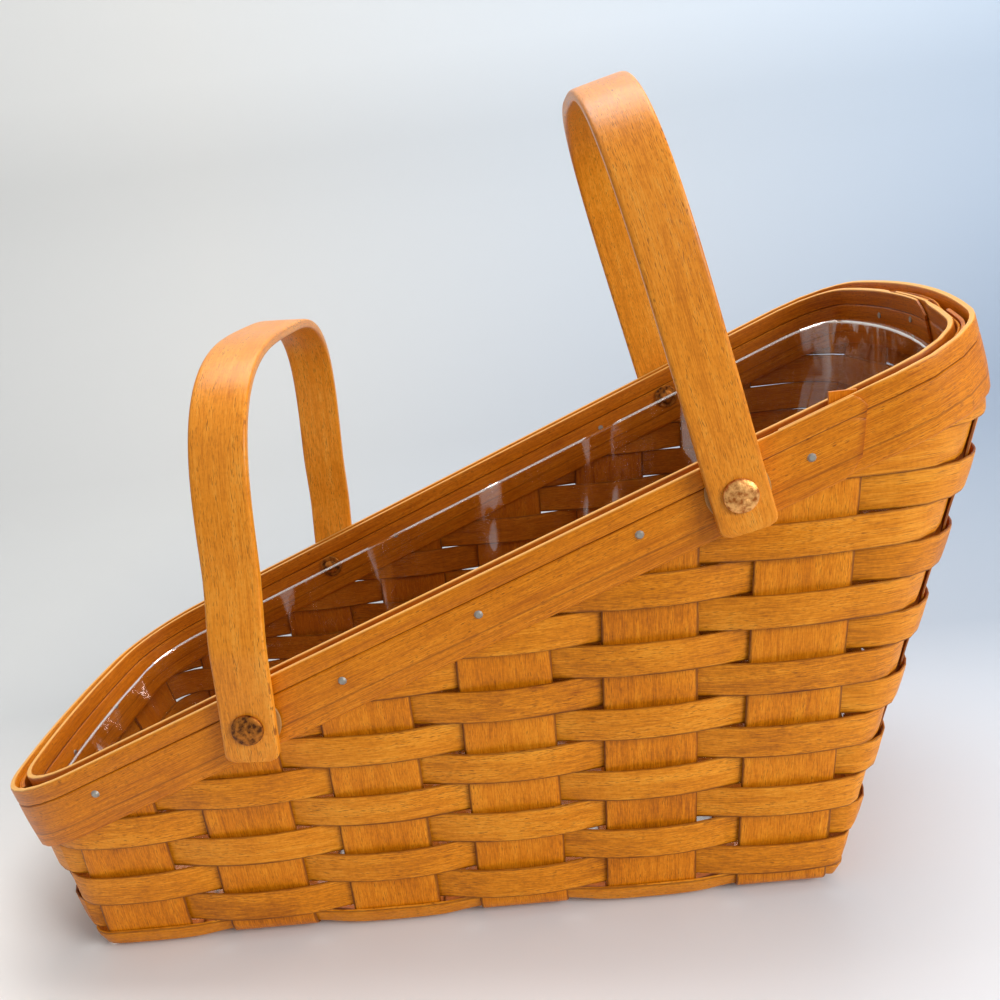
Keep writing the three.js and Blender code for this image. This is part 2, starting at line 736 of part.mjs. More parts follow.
function hoopGeometry(handle) {
  const half = hoopFace(handle).map(([y, h]) => new THREE.Vector2(-y, h));
  const mirrored = half.slice(0, -1).reverse().map((p) => new THREE.Vector2(-p.x, p.y));
  const face = [...half, ...mirrored];
  const sections = face.map((p, i) => {
    const before = face[Math.max(i - 1, 0)];
    const after = face[Math.min(i + 1, face.length - 1)];
    const along = after.clone().sub(before).normalize();
    const inwards = new THREE.Vector2(along.y, -along.x);
    const at = (side, depth) => new THREE.Vector3(
      side, p.x + inwards.x * depth, p.y + inwards.y * depth);
    const w = stripHalfWidth(p.y);
    const c = HANDLE_CHAMFER;
    const t = HANDLE_THICKNESS;
    return [
      at(-w + c, 0), at(w - c, 0), at(w, c), at(w, t - c),
      at(w - c, t), at(-w + c, t), at(-w, t - c), at(-w, c),
    ];
  });
  const hoop = toSolid(loft(sections));
  const across = 2 * (handle.wall + handleFar + HANDLE_THICKNESS);
  const bore = hole(
    rivetHoleRadius, RIVET_HOLE_SIDES, across, new THREE.Vector3(), new THREE.Vector3(0, 1, 0));
  return toGeometry(hoop.subtract(bore));
}

// Liner

// The tall end of the rim leans inwards, so the liner's end turns upright where
// it can still pass the inner band.
const linerTallX = tallEndX(TALL_RIM_HEIGHT) - bandFar - LINER_CLEARANCE;

// A block that fills the basket inside an inset, from a height upwards.
function linerBlock(inset, baseRadius, bottom) {
  const limit = linerTallX + LINER_INSET - inset;
  const turnZ = (limit + inset - halfLength) / TALL_END_FLARE;
  const level = (z) => [1, 2, 3, 5, 6, 7].flatMap((index) => {
    const { cx, cy, r, from, length } = outline(z, inset, baseRadius, limit)[index];
    const isEnd = index === 2 || index === 6;
    const steps = isEnd ? END_STEPS : CORNER_STEPS;
    const shares = [...Array(steps + 1).keys()].map((step) => step / steps);
    return (isEnd ? shares.slice(1, -1) : shares).map((share) => {
      const angle = from * DEG + (length / r) * share;
      return new THREE.Vector3(cx + r * Math.cos(angle), cy + r * Math.sin(angle), z);
    });
  });
  return toSolid(loft([bottom, turnZ, TALL_RIM_HEIGHT].map(level)));
}

function linerGeometry() {
  const bottom = overLayer + stakeHalf + GAP;
  const outside = linerBlock(LINER_INSET, LINER_CORNER_RADIUS, bottom);
  const inside = linerBlock(
    LINER_INSET + LINER_THICKNESS, LINER_CORNER_RADIUS - LINER_THICKNESS, bottom + LINER_THICKNESS);
  return toGeometry(outside.subtract(inside).intersect(belowRim(LINER_DROP)));
}

// Materials

const wood = (color, roughness) => () =>
  new THREE.MeshStandardMaterial({ color, roughness, metalness: 0 });
const stakeWood = wood('#a9682a', 0.5);
const weaverWood = wood('#b5742f', 0.48);
const bandWood = wood('#c07f38', 0.42);
const handleWood = wood('#c98b45', 0.4);
const copper = () =>
  new THREE.MeshStandardMaterial({ color: '#8c5f35', roughness: 0.45, metalness: 0.8 });
const spacerPlastic = () =>
  new THREE.MeshStandardMaterial({ color: '#d9c9a8', roughness: 0.3, metalness: 0 });
const clearPlastic = () => new THREE.MeshStandardMaterial({
  color: '#eef2f2', roughness: 0.08, metalness: 0, transparent: true, opacity: 0.3,
});

function named(name, geometry, material) {
  const mesh = new THREE.Mesh(geometry, material());
  mesh.name = name;
  return mesh;
}

// Assembly

const basket = new THREE.Group();

const rivets = rivetPlaces();
const drillLength = 4 * handleFar;
const drills = rivets.map(({ point, out }) =>
  hole(rivetHoleRadius, RIVET_HOLE_SIDES, drillLength, point, out));

// A wooden piece with every rivet hole that passes through it, and with its
// top cut along the slant where it has one.
function drilled(geometry, limit = null) {
  let solid = toSolid(geometry);
  if (limit) solid = solid.intersect(limit);
  for (const drill of drills) {
    const box = solid.boundingBox();
    const reach = drill.boundingBox();
    const meets = [0, 1, 2].every((i) =>
      box.min[i] < reach.max[i] && reach.min[i] < box.max[i]);
    if (meets) solid = solid.subtract(drill);
  }
  return toGeometry(solid);
}

const stakeLimit = belowRim(STAKE_TOP_DROP);
for (let i = 0; i < CROSS_STAKES; i += 1) {
  basket.add(named(`cross_stake_${i + 1}`, drilled(crossStake(i), stakeLimit), stakeWood));
}
for (let i = 0; i < LONG_STAKES; i += 1) {
  basket.add(named(`long_stake_${i + 1}`, drilled(longStake(i), stakeLimit), stakeWood));
}

const rowDrop = RIM_WEAVER_DROP + RIM_WEAVER_WIDTH + GAP;
const rowLimit = belowRim(rowDrop);
basket.add(named('weaver_00', drilled(tuckedWeaver(), rowLimit), weaverWood));
for (let row = 1; rowBottom(row) + LEAST_ROW_HEIGHT < TALL_RIM_HEIGHT - rowDrop; row += 1) {
  const name = `weaver_${String(row).padStart(2, '0')}`;
  basket.add(named(name, drilled(weaverRing(row), rowLimit), weaverWood));
}
basket.add(named('rim_weaver', drilled(rimWeaver()), weaverWood));
basket.add(named('rim_band_outer', drilled(outerBand()), bandWood));
basket.add(named('rim_band_inner', drilled(innerBand()), bandWood));
basket.add(named('clear_liner', linerGeometry(), clearPlastic));

for (const handle of HANDLES) {
  const turn = new THREE.Group();
  turn.position.set(handle.x, 0, handle.z);
  turn.rotation.y = handle.lean * DEG;
  turn.add(named(`handle_${handle.name}`, hoopGeometry(handle), handleWood));
  basket.add(turn);
}

for (const { name, point, out } of rivets) {
  const spacer = washerGeometry(
    rivetHoleRadius, SPACER_RADIUS, spacerNear, spacerNear + SPACER_THICKNESS);
  const burr = washerGeometry(rivetHoleRadius, BURR_RADIUS, burrNear, burrFar);
  basket.add(aim(named(`rivet_${name}`, rivetGeometry(), copper), point, out));
  basket.add(aim(named(`spacer_${name}`, spacer, spacerPlastic), point, out));
  basket.add(aim(named(`burr_${name}`, burr, copper), point, out));
}

const whole = new THREE.Box3().setFromObject(basket);
basket.position.x = -(whole.min.x + whole.max.x) / 2;

export default basket;
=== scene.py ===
# %% [markdown]
# # A slant-top splint basket
#
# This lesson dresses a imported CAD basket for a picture. The CAD gives every
# piece its place and its motion. Here each piece gets its finer shape and its
# finish: woven wooden strips, two rim bands, two bent handles on copper
# rivets, small nails and a clear liner.
#
# Lengths are written in millimetres, as a basket maker would write them, and
# MM turns them into Blender's metres.

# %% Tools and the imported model
import math

import bmesh
import bpy
import numpy as np
from mathutils import Matrix, Vector


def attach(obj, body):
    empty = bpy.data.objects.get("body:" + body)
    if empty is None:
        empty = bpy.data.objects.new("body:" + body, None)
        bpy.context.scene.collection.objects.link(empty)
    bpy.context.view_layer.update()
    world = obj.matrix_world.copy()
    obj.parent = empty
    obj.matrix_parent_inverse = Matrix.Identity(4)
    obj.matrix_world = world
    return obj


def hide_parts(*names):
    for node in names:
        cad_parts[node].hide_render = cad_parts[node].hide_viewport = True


MM = 0.001
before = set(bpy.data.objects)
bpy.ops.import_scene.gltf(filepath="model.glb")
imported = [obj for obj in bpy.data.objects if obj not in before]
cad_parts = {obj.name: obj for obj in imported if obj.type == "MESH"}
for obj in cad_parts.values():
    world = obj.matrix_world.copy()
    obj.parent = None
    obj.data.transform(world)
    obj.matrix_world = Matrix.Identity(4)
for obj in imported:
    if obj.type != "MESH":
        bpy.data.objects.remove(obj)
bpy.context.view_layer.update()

# %% [markdown]
# ## The sizes of the wall
#
# The basket has one long flat base, two nearly upright long sides, a low end
# and a tall end that both lean out. Its corners are tight at the base and
# wide at the rim, and both ends are bowed a little. The rim lies in one
# slanted plane. All pieces below take their places from these few sizes, so
# they are written once, at the top.
#
# The sizes are measured from the middle of the base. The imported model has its
# origin under the middle of the overall length, so SHIFT moves every finished
# piece along x.

# %% Sizes of the wall
BASE_LENGTH, BASE_WIDTH = 287.1, 149.1
SIDE_FLARE, LOW_END_FLARE, TALL_END_FLARE = 0.0402, 0.421, 0.3535
FLARE_TOP, TALL_END_LEAN_IN = 179.0, 0.214
LOW_RIM, TALL_RIM = 69, 210.9
BASE_CORNER_RADIUS, RIM_CORNER_RADIUS = 4, 34
BASE_BOW, LOW_RIM_BOW, TALL_RIM_BOW = 0.5, 9, 12
SHIFT = -16.1353

STAKE_THICKNESS, STAKE_WIDTH, STAKE_PITCH = 1.2, 33.8, 48.7
CROSS_STAKES, LONG_STAKES = 6, 3
STAKE_LEAN, STAKE_FAN, END_STAKE_FAN = 0.03, 0.0005, 0.03
ROW_PITCH, FIRST_ROW_BOTTOM, ROW_WIDTH = 12.7, 10.7, 12.7
BEND_TOP = 8.1


# %% [markdown]
# ## The wall as a rule
#
# The outline of the wall at a height z is made of nine stretches: four sides,
# the two bowed ends among them, four round corners, and the near side cut in
# two where the counting starts. It could be drawn as a curve by hand, but
# then every strip would need its own. As a rule it gives any point of the
# wall from three numbers: how far along the outline, how high, and how far
# out. The arrays let one call work out thousands of points.

# %% The outline of the wall
def low_end_x(z):
    return -(BASE_LENGTH / 2 + LOW_END_FLARE * z)


def tall_end_x(z):
    soft = 5.0  # the turn from leaning out to leaning in is rounded
    over = 0.5 * ((z - FLARE_TOP) + np.sqrt((z - FLARE_TOP) ** 2 + soft**2))
    return BASE_LENGTH / 2 + TALL_END_FLARE * z - (TALL_END_FLARE + TALL_END_LEAN_IN) * over


RIM_SLOPE = (TALL_RIM - LOW_RIM) / (tall_end_x(TALL_RIM) - low_end_x(LOW_RIM))


def rim_z(x):
    return LOW_RIM + RIM_SLOPE * (x - low_end_x(LOW_RIM))


def outline(z, inset=0.0, base_radius=BASE_CORNER_RADIUS, tall_limit=np.inf):
    """The nine stretches of the wall at the heights z, each as a dictionary of arrays."""
    low_share, tall_share = z / LOW_RIM, z / TALL_RIM
    low_r = base_radius + (RIM_CORNER_RADIUS - inset - base_radius) * low_share
    tall_r = base_radius + (RIM_CORNER_RADIUS - inset - base_radius) * tall_share
    low_bow = np.radians(BASE_BOW + (LOW_RIM_BOW - BASE_BOW) * low_share)
    tall_bow = np.radians(BASE_BOW + (TALL_RIM_BOW - BASE_BOW) * tall_share)
    y = BASE_WIDTH / 2 + SIDE_FLARE * z - inset
    tall_x = np.minimum(tall_end_x(z) - inset, tall_limit)
    low_x = low_end_x(z) + inset

    def end(apex, way, r, bow):
        big = (y - r) / np.sin(bow) + r
        middle = apex - way * big
        return middle, big, middle + way * (big - r) * np.cos(bow)

    tall_cx, tall_big, tall_corner = end(tall_x, 1, tall_r, tall_bow)
    low_cx, low_big, low_corner = end(low_x, -1, low_r, low_bow)
    zero = np.zeros_like(y)
    quarter = math.pi / 2

    def line(x0, y0, x1, y1):
        return {"x0": x0, "y0": y0, "x1": x1, "y1": y1, "length": np.hypot(x1 - x0, y1 - y0)}

    def arc(cx, cy, r, start, turn):
        return {"cx": cx, "cy": cy, "r": r, "start": start + zero, "length": r * turn}

    return [
        line(zero, -y, tall_corner, -y),
        arc(tall_corner, tall_r - y, tall_r, -quarter, quarter - tall_bow),
        arc(tall_cx, zero, tall_big, -tall_bow, 2 * tall_bow),
        arc(tall_corner, y - tall_r, tall_r, tall_bow, quarter - tall_bow),
        line(tall_corner, y, low_corner, y),
        arc(low_corner, y - low_r, low_r, quarter, quarter - low_bow),
        arc(low_cx, zero, low_big, math.pi - low_bow, 2 * low_bow),
        arc(low_corner, low_r - y, low_r, math.pi + low_bow, quarter - low_bow),
        line(low_corner, -y, zero, -y),
    ]


def start_of(parts, index):
    return sum((part["length"] for part in parts[:index]), np.zeros_like(parts[0]["length"]))


def length_round(z):
    parts = outline(z)
    return start_of(parts, len(parts))


def wall_point(s, z, n=0.0):
    """Points at s along the outline at height z, moved outwards by n, and which way is out."""
    s, z, n = (np.array(a, float) for a in np.broadcast_arrays(s, z, n))
    parts = outline(z)
    s = s % start_of(parts, len(parts))
    x, y, out_x, out_y = (np.zeros_like(s) for _ in range(4))
    begin = np.zeros_like(s)
    for part in parts:
        rest = s - begin
        here = (rest >= 0) & (rest <= part["length"] + 1e-9)
        if "r" in part:
            angle = part["start"] + rest / part["r"]
            px, py = part["cx"] + part["r"] * np.cos(angle), part["cy"] + part["r"] * np.sin(angle)
            ox, oy = np.cos(angle), np.sin(angle)
        else:
            t = rest / part["length"]
            ox = (part["y1"] - part["y0"]) / part["length"]
            oy = -(part["x1"] - part["x0"]) / part["length"]
            px = part["x0"] + t * (part["x1"] - part["x0"])
            py = part["y0"] + t * (part["y1"] - part["y0"])
        for store, value in ((x, px), (y, py), (out_x, ox), (out_y, oy)):
            store[here] = value[here]
        begin = begin + part["length"]
    out = np.stack([out_x, out_y, np.zeros_like(out_x)], -1)
    return np.stack([x, y, z], -1) + out * n[..., None], out


print("rim slope", round(RIM_SLOPE, 4), "outline at the low rim, mm",
      round(float(length_round(np.array([LOW_RIM]))[0]), 1))


# %% [markdown]
# ## Places along the wall
#
# A strip that goes round the basket meets 18 stakes: six on each long side
# and three on each end. Counting along the wall in stakes instead of
# millimetres keeps the weave regular where the corners stretch it. Stake k
# has its middle at k + 0.5, and a place between two stakes is worked out from
# their edges.

# %% Places along the wall
HALF_STAKE = STAKE_WIDTH / STAKE_PITCH / 2
TALL_END, FAR_SIDE, LOW_END = 2, 4, 6  # which of the outline's nine stretches each is


def cross_stake_x(index, z):
    x = STAKE_PITCH * ((CROSS_STAKES - 1) / 2 - index)
    return x + (STAKE_LEAN + STAKE_FAN * x) * z


def long_stake_y(index, z):
    return (index - (LONG_STAKES - 1) / 2) * (STAKE_PITCH + END_STAKE_FAN * z)


def on_near(x, z):
    return x + 0 * z


def on_far(x, z):
    parts = outline(z)
    return start_of(parts, FAR_SIDE) + parts[FAR_SIDE]["x0"] - x


def on_tall_end(y, z):
    parts = outline(z)
    return start_of(parts, TALL_END) + parts[TALL_END]["length"] / 2 + y


def on_low_end(y, z):
    parts = outline(z)
    return start_of(parts, LOW_END) + parts[LOW_END]["length"] / 2 - y


WALLS = [
    (on_near, cross_stake_x, [5, 4, 3, 2, 1, 0], 1),
    (on_tall_end, long_stake_y, [0, 1, 2], 1),
    (on_far, cross_stake_x, [0, 1, 2, 3, 4, 5], -1),
    (on_low_end, long_stake_y, [2, 1, 0], -1),
]
STAKES_ROUND = sum(len(wall[2]) for wall in WALLS)


def distance_along(count, z):
    """Millimetres along the outline at height z for places counted in stakes."""
    keys, values = [], []
    k = 0
    for on, middle, order, way in WALLS:
        for index in order:
            for side in (-1, 1):
                keys.append(k + 0.5 + side * HALF_STAKE)
                values.append(on(middle(index, z) + way * side * STAKE_WIDTH / 2, z))
            k += 1
    total = length_round(z)
    keys = [keys[-1] - k] + keys + [keys[0] + k]
    values = [values[-1] - total] + values + [values[0] + total]
    count = np.broadcast_to(np.asarray(count, float), np.shape(z))
    slot = np.clip(np.searchsorted(keys, count, side="right") - 1, 0, len(keys) - 2)
    keys, values = np.array(keys), np.array(values)
    share = (count - keys[slot]) / (keys[slot + 1] - keys[slot])
    column = np.arange(count.size).reshape(count.shape)
    flat = values.reshape(len(values), -1)
    low, high = flat[slot, column], flat[slot + 1, column]
    return low + (high - low) * share


print("stakes round the wall:", STAKES_ROUND)


# %% [markdown]
# ## From points to a closed skin
#
# Most pieces of the basket are long strips with a small section. A skin
# through rings of points makes any of them: each ring is the strip's section
# at one place, and two caps close the ends. Every point also keeps where it
# lies in the wood, as an attribute named grain: how far along the strip, how
# far across it, and a number of the strip's own. The wood materials read it,
# so their fibres follow each strip round every bend. A second attribute, named
# inner, says how much painted shade a point gets, up to 1: the faces that look
# into the basket, the inner faces of the handles and the tip of the outer
# band's lap are painted darker, where shade falls on them.

# %% Helpers for meshes
def in_scene(name, data):
    """An object of the scene that shows a mesh, a lamp or a camera."""
    made = bpy.data.objects.new(name, data)
    bpy.context.scene.collection.objects.link(made)
    return made


def plain_mesh(changed):
    """What an object's modifiers make of it, as a mesh of its own."""
    bpy.context.view_layer.update()
    ready = changed.evaluated_get(bpy.context.evaluated_depsgraph_get())
    return bpy.data.meshes.new_from_object(ready)


def piece_from(name, points, faces, grain, material, inner=None):
    """A mesh object in metres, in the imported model's place, with its grain."""
    mesh = bpy.data.meshes.new(name)
    place = (np.asarray(points, float) + [SHIFT, 0, 0]) * MM
    mesh.from_pydata(place.tolist(), [], faces)
    mesh.validate()
    attribute = mesh.attributes.new("grain", "FLOAT_VECTOR", "POINT")
    attribute.data.foreach_set("vector", np.asarray(grain, float).ravel())
    if inner is not None:
        attribute = mesh.attributes.new("inner", "FLOAT", "POINT")
        attribute.data.foreach_set("value", np.asarray(inner, float).ravel())
    mesh.materials.append(material)
    turn_outwards(mesh)
    return in_scene(name, mesh)


def turn_outwards(mesh, weld=0.0):
    """Turns the faces outwards and makes them smooth, after merging points within weld."""
    work = bmesh.new()
    work.from_mesh(mesh)
    if weld:
        bmesh.ops.remove_doubles(work, verts=work.verts, dist=weld)
    bmesh.ops.recalc_face_normals(work, faces=work.faces)
    for face in work.faces:
        face.smooth = True
    work.to_mesh(mesh)
    work.free()


def skin(sections):
    """Faces through rings of points, with a cap at each end: sections is (rings, points, 3)."""
    rings, count = sections.shape[:2]
    faces = []
    for a in range(0, (rings - 1) * count, count):
        b = a + count
        for j in range(count):
            k = (j + 1) % count
            faces.append((a + j, b + j, b + k, a + k))
    last = (rings - 1) * count
    faces.append(tuple(range(count)))
    faces.append(tuple(last + j for j in reversed(range(count))))
    return faces


def strip_profile(width, thickness, ease, across=9):
    """A flat section: (share across, height from the middle) round the strip.

    Each edge is eased by one more point, a third of the way in and half way up.
    """
    half = thickness / 2
    e = ease / width
    top = [(e * 0.3, half * 0.55), (e, half)]
    top += [(t, half) for t in np.linspace(0, 1, across)[1:-1]]
    top += [(1 - e, half), (1 - e * 0.3, half * 0.55)]
    shape = [(0.0, 0.0)] + top + [(1.0, 0.0)] + [(t, -h) for t, h in reversed(top)]
    return np.array(shape)


def grain_along(sections, across, number):
    """Grain for the rings of a strip: metres along and across, and the strip's number."""
    steps = np.linalg.norm(np.diff(sections.mean(1), axis=0), axis=1)
    along = np.concatenate([[0], np.cumsum(steps)]) * MM
    shape = sections.shape[:2]
    return np.stack([np.broadcast_to(along[:, None], shape), np.broadcast_to(across, shape) * MM,
                     np.full(shape, number)], -1).reshape(-1, 3)


def wave_round(count, row):
    """How far a weaver stands out at a place: 1 outside the stake, -1 inside."""
    swing = np.sin(math.pi * (count + row))
    soft = 0.35
    return swing / np.sqrt(swing**2 + soft**2) * math.sqrt(1 + soft**2)


def finish_edges(piece, angle=40):
    """Shows edges sharper than an angle as sharp, and the rest as smooth."""
    piece.data.set_sharp_from_angle(angle=math.radians(angle))
    return piece


# %% [markdown]
# ## Helpers for node trees
#
# Materials and Geometry Nodes are both trees of nodes. Adding nodes by hand
# takes many lines, so small helpers do it. The first two add a node and fill
# or link its inputs. The others each add one kind of node that these trees use
# often: sums, parts of a vector, noise, a change of range, a mix of colours.

# %% Helpers for nodes
def feed(tree, node, inputs):
    """Fills a node's inputs, by a link where the value is another node's output."""
    for name, value in inputs.items():
        socket = node.inputs[name]
        if isinstance(value, bpy.types.NodeSocket):
            tree.links.new(value, socket)
        else:
            socket.default_value = value
    return node


def add(tree, kind, inputs=None, **settings):
    node = tree.nodes.new(kind)
    for name, value in settings.items():
        setattr(node, name, value)
    return feed(tree, node, inputs or {})


def calc(tree, operation, *values, clamp=False):
    node = add(tree, "ShaderNodeMath", dict(enumerate(values)), operation=operation)
    node.use_clamp = clamp
    return node.outputs[0]


def total(tree, *values, clamp=False):
    """The sum of some values, at last kept between 0 and 1 where clamp is set."""
    result = values[0]
    for value in values[1:-1]:
        result = calc(tree, "ADD", result, value)
    return calc(tree, "ADD", result, values[-1], clamp=clamp)


def product(tree, *values):
    result = values[0]
    for value in values[1:]:
        result = calc(tree, "MULTIPLY", result, value)
    return result


def vector_calc(tree, operation, *values):
    inputs = dict(enumerate(values))
    if operation == "SCALE":
        inputs["Scale"] = inputs.pop(1)
    return add(tree, "ShaderNodeVectorMath", inputs, operation=operation).outputs[0]


def split(tree, vector):
    return add(tree, "ShaderNodeSeparateXYZ", {0: vector}).outputs


def combined(tree, x=0.0, y=0.0, z=0.0):
    return add(tree, "ShaderNodeCombineXYZ", {"X": x, "Y": y, "Z": z}).outputs[0]


def remapped(tree, value, low, high, to_low=0.0, to_high=1.0, **settings):
    """A value between low and high carried over to the range from to_low to to_high."""
    return add(tree, "ShaderNodeMapRange",
               {"Value": value, "From Min": low, "From Max": high,
                "To Min": to_low, "To Max": to_high}, **settings).outputs["Result"]


def noise(tree, place, scale, detail, roughness=0.5, distortion=0.0):
    return add(tree, "ShaderNodeTexNoise",
               {"Vector": place, "Scale": scale, "Detail": detail,
                "Roughness": roughness, "Distortion": distortion}).outputs["Fac"]


def from_hex(text):
    """A colour written as on a paint card, turned into Blender's linear values."""
    parts = [int(text[i : i + 2], 16) / 255 for i in (1, 3, 5)]
    return [p / 12.92 if p <= 0.04045 else ((p + 0.055) / 1.055) ** 2.4 for p in parts] + [1.0]


# %% Helpers for materials
def new_material(name):
    """A material, its tree, and the shader that the tree starts with."""
    material = bpy.data.materials.new(name)
    material.use_nodes = True
    return material, material.node_tree, material.node_tree.nodes["Principled BSDF"]


def object_place(tree):
    return add(tree, "ShaderNodeTexCoord").outputs["Object"]


def mesh_value(tree, name, output):
    """A value that the mesh carries for every point."""
    return add(tree, "ShaderNodeAttribute", attribute_name=name).outputs[output]


def blended(tree, share, first, second, **settings):
    """The first colour at a share of 0, the second at 1."""
    return add(tree, "ShaderNodeMix", {"Factor": share, "A": first, "B": second},
               data_type="RGBA", **settings).outputs["Result"]


def colour_ramp(tree, value, *stops):
    """Colours that follow a value, with stops as (value, colour)."""
    ramp = add(tree, "ShaderNodeValToRGB", {"Fac": value})
    elements = ramp.color_ramp.elements
    (elements[0].position, first), (elements[1].position, last) = stops[0], stops[-1]
    elements[0].color, elements[1].color = from_hex(first), from_hex(last)
    for position, colour in stops[1:-1]:
        elements.new(position).color = from_hex(colour)
    return ramp.outputs["Color"]


def bumpy(tree, height, strength, distance):
    """Which way a surface looks where a height pattern makes it uneven."""
    return add(tree, "ShaderNodeBump",
               {"Strength": strength, "Distance": distance, "Height": height}).outputs["Normal"]


def centred(tree, value, strength):
    """A value that lies round 0.5 made to lie round 0, and scaled."""
    return product(tree, calc(tree, "SUBTRACT", value, 0.5), strength)


# %% [markdown]
# ## The wood
#
# The strips are thin splint, taken to be maple, stained a warm honey brown and
# varnished to a satin shine. Such splint shows fine fibres along the strip,
# short dark pores, slow changes of tone from blotchy stain, and one strip is
# lighter than its neighbour. A photograph of wood could be wrapped on, but it
# would repeat and stretch. Noise that is stretched along the grain attribute
# never repeats, and the same tree serves every strip with other numbers.
#
# Two more things are drawn by the same attribute. Thin dark lines run along a
# strip beside its edges, and along the bands' groove and crease: painted shade
# where strips meet, pass under each other and fold. The cut edges of the bands
# are paler, as if planed after staining. Faces that look into the basket are
# darker, by the attribute inner, which is painted shade as well. Colours are
# written as on a paint card, and widths of lines in metres, as the attribute is.

# %% Wood material
PORE_BROWN, SHADE_LINE_BROWN, BARE_WOOD = "#6b3200", "#4f2300", "#f6b659"
# The next colour darkens, as painted shade, the faces that the attribute inner marks.
INWARD_SHADE = (0.7, 0.56, 0.42, 1)


def wood(name, dark, mid, light, pores, tone_spread, streaks, blotches=0.55, gloss=0.48,
         coat=0.04, length=1.0, lines=(), raw_edge=None):
    """A wood with stain and varnish; lines are (metres across, half width, strength) of dark lines
    of painted shade.
    """
    material, tree, shader = new_material(name)
    grain, place = mesh_value(tree, "grain", "Vector"), object_place(tree)
    parts = split(tree, grain)
    own = add(tree, "ShaderNodeTexWhiteNoise", {"W": parts["Z"]},
              noise_dimensions="1D").outputs["Value"]

    def stretched(along, across, *shape):
        place = vector_calc(tree, "MULTIPLY", grain, (along, across, 7.31))
        return noise(tree, place, 1.0, *shape)

    fibres = stretched(190 / length, 2300, 3, 0.65)
    figure = stretched(26 / length, 330, 4, 0.6, 0.5)
    pore = stretched(430, 4200, 1, 0.4)
    blotch = noise(tree, place, 42.0, 5.0, 0.62)
    speck = noise(tree, place, 780.0, 3.0, 0.6)
    tone = total(tree, *[centred(tree, value, strength) for value, strength in (
        (fibres, streaks), (figure, streaks * 0.75), (blotch, blotches), (speck, 0.3),
        (own, tone_spread))], 0.5, clamp=True)
    colour = colour_ramp(tree, tone, (0.1, dark), (0.5, mid), (0.92, light))

    clusters = total(tree, centred(tree, figure, 4.0), 0.6, clamp=True)
    flecks = product(tree, remapped(tree, pore, 0.58, 0.70), pores, clusters)
    colour = blended(tree, flecks, colour, from_hex(PORE_BROWN))
    # Dark lines of painted shade along strip edges and the bands' groove and crease.
    for across, half_width, strength in lines:
        wandering = total(tree, parts["Y"], centred(tree, figure, half_width * 2.5))
        away = calc(tree, "ABSOLUTE", calc(tree, "SUBTRACT", wandering, across))
        line = remapped(tree, away, half_width * 0.3, half_width, strength, 0.0)
        colour = blended(tree, line, colour, from_hex(SHADE_LINE_BROWN))
    # Painted shade: faces marked by the attribute inner are darkened.
    dim = blended(tree, 1.0, colour, INWARD_SHADE, blend_type="MULTIPLY")
    colour = blended(tree, mesh_value(tree, "inner", "Fac"), colour, dim)
    if raw_edge:
        bare = remapped(tree, parts["Y"], 0.0, raw_edge, 0.85, 0.0)
        colour = blended(tree, bare, colour, from_hex(BARE_WOOD))

    height = calc(tree, "SUBTRACT", product(tree, fibres, 0.6), flecks)
    rough = total(tree, centred(tree, fibres, 0.25),
                  total(tree, centred(tree, blotch, 0.2), gloss))
    feed(tree, shader, {
        "Base Color": colour, "Normal": bumpy(tree, height, 0.3, 0.00015), "Roughness": rough,
        "Specular IOR Level": 0.22, "Coat Weight": coat, "Coat Roughness": 0.3})
    return material


weaver_wood = wood("weaver wood", "#8a4300", "#d57e06", "#f2a430", pores=0.8,
                   tone_spread=0.16, streaks=0.85,
                   lines=((-0.0063, 0.0008, 0.75), (0.0063, 0.0006, 0.55)))
stake_wood = wood("stake wood", "#8a4200", "#d47802", "#f29c20", pores=0.6,
                  tone_spread=0.16, streaks=0.9, blotches=0.6,
                  lines=((0.0002, 0.0009, 0.75), (0.0336, 0.0009, 0.75)))
band_wood = wood("band wood", "#944400", "#d47a04", "#f4a028", pores=0.8, gloss=0.42,
                 tone_spread=0.1, streaks=0.9, blotches=0.3, length=2.2, raw_edge=0.0005,
                 lines=((0.00725, 0.00032, 0.7), (0.0204, 0.0005, 0.4), (0.0232, 0.0003, 0.2)))
handle_wood = wood("handle wood", "#b15f09", "#ed9421", "#feb84c", pores=0.7, gloss=0.36,
                   coat=0.15, tone_spread=0.1, streaks=0.75, blotches=0.4, length=1.3)
print("woods:", [m.name for m in (weaver_wood, stake_wood, band_wood, handle_wood)])

# %% [markdown]
# ## The stakes
#
# Nine wide strips carry the basket. Six cross the base and stand up on the
# long sides, three run lengthwise and stand up at the ends. In the base they
# pass over and under each other. Each could be a bent box, but the outer ones
# follow the round corners, so each is a skin through sections that the wall's
# rule places. Between the rows the stakes swing a little the other way from
# the weavers, as they do in a tightly packed wall. One stake was cut square
# across instead of along the slant, so its corner stands above the rim.

# %% Stakes
GAP = 0.3
CROSS_LAYER = STAKE_THICKNESS * 1.5 + GAP
UNDER_LAYER = STAKE_THICKNESS / 2
OVER_LAYER = 2 * CROSS_LAYER - UNDER_LAYER
STAKE_TOP_DROP, STAKE_SWING, STAKE_EASE = 2.5, 0.2, 0.9
RING_PITCH, BEND_RINGS = 3.1, 9
CROSS_RUN, LONG_RUN = 62, 134  # half the length of a stake's flat run under the base
LEVEL_HALF = 18.5  # how far to each side of a crossing a long stake stays level
OWN_GRAIN = 0.37  # the step of the grain's number from one stake to the next
OVER_RIM = 5  # the uprights at the ends are made this much too long, then trimmed
stake_shape = strip_profile(STAKE_WIDTH, STAKE_THICKNESS, STAKE_EASE)


def long_layer(long, cross):
    return OVER_LAYER if (long + cross) % 2 == 0 else UNDER_LAYER


def place_across(on, middle, index):
    """A rule for one upright: its place along the outline from the share across it and z."""
    return lambda share, z: on(middle(index, z) + (share - 0.5) * STAKE_WIDTH, z)


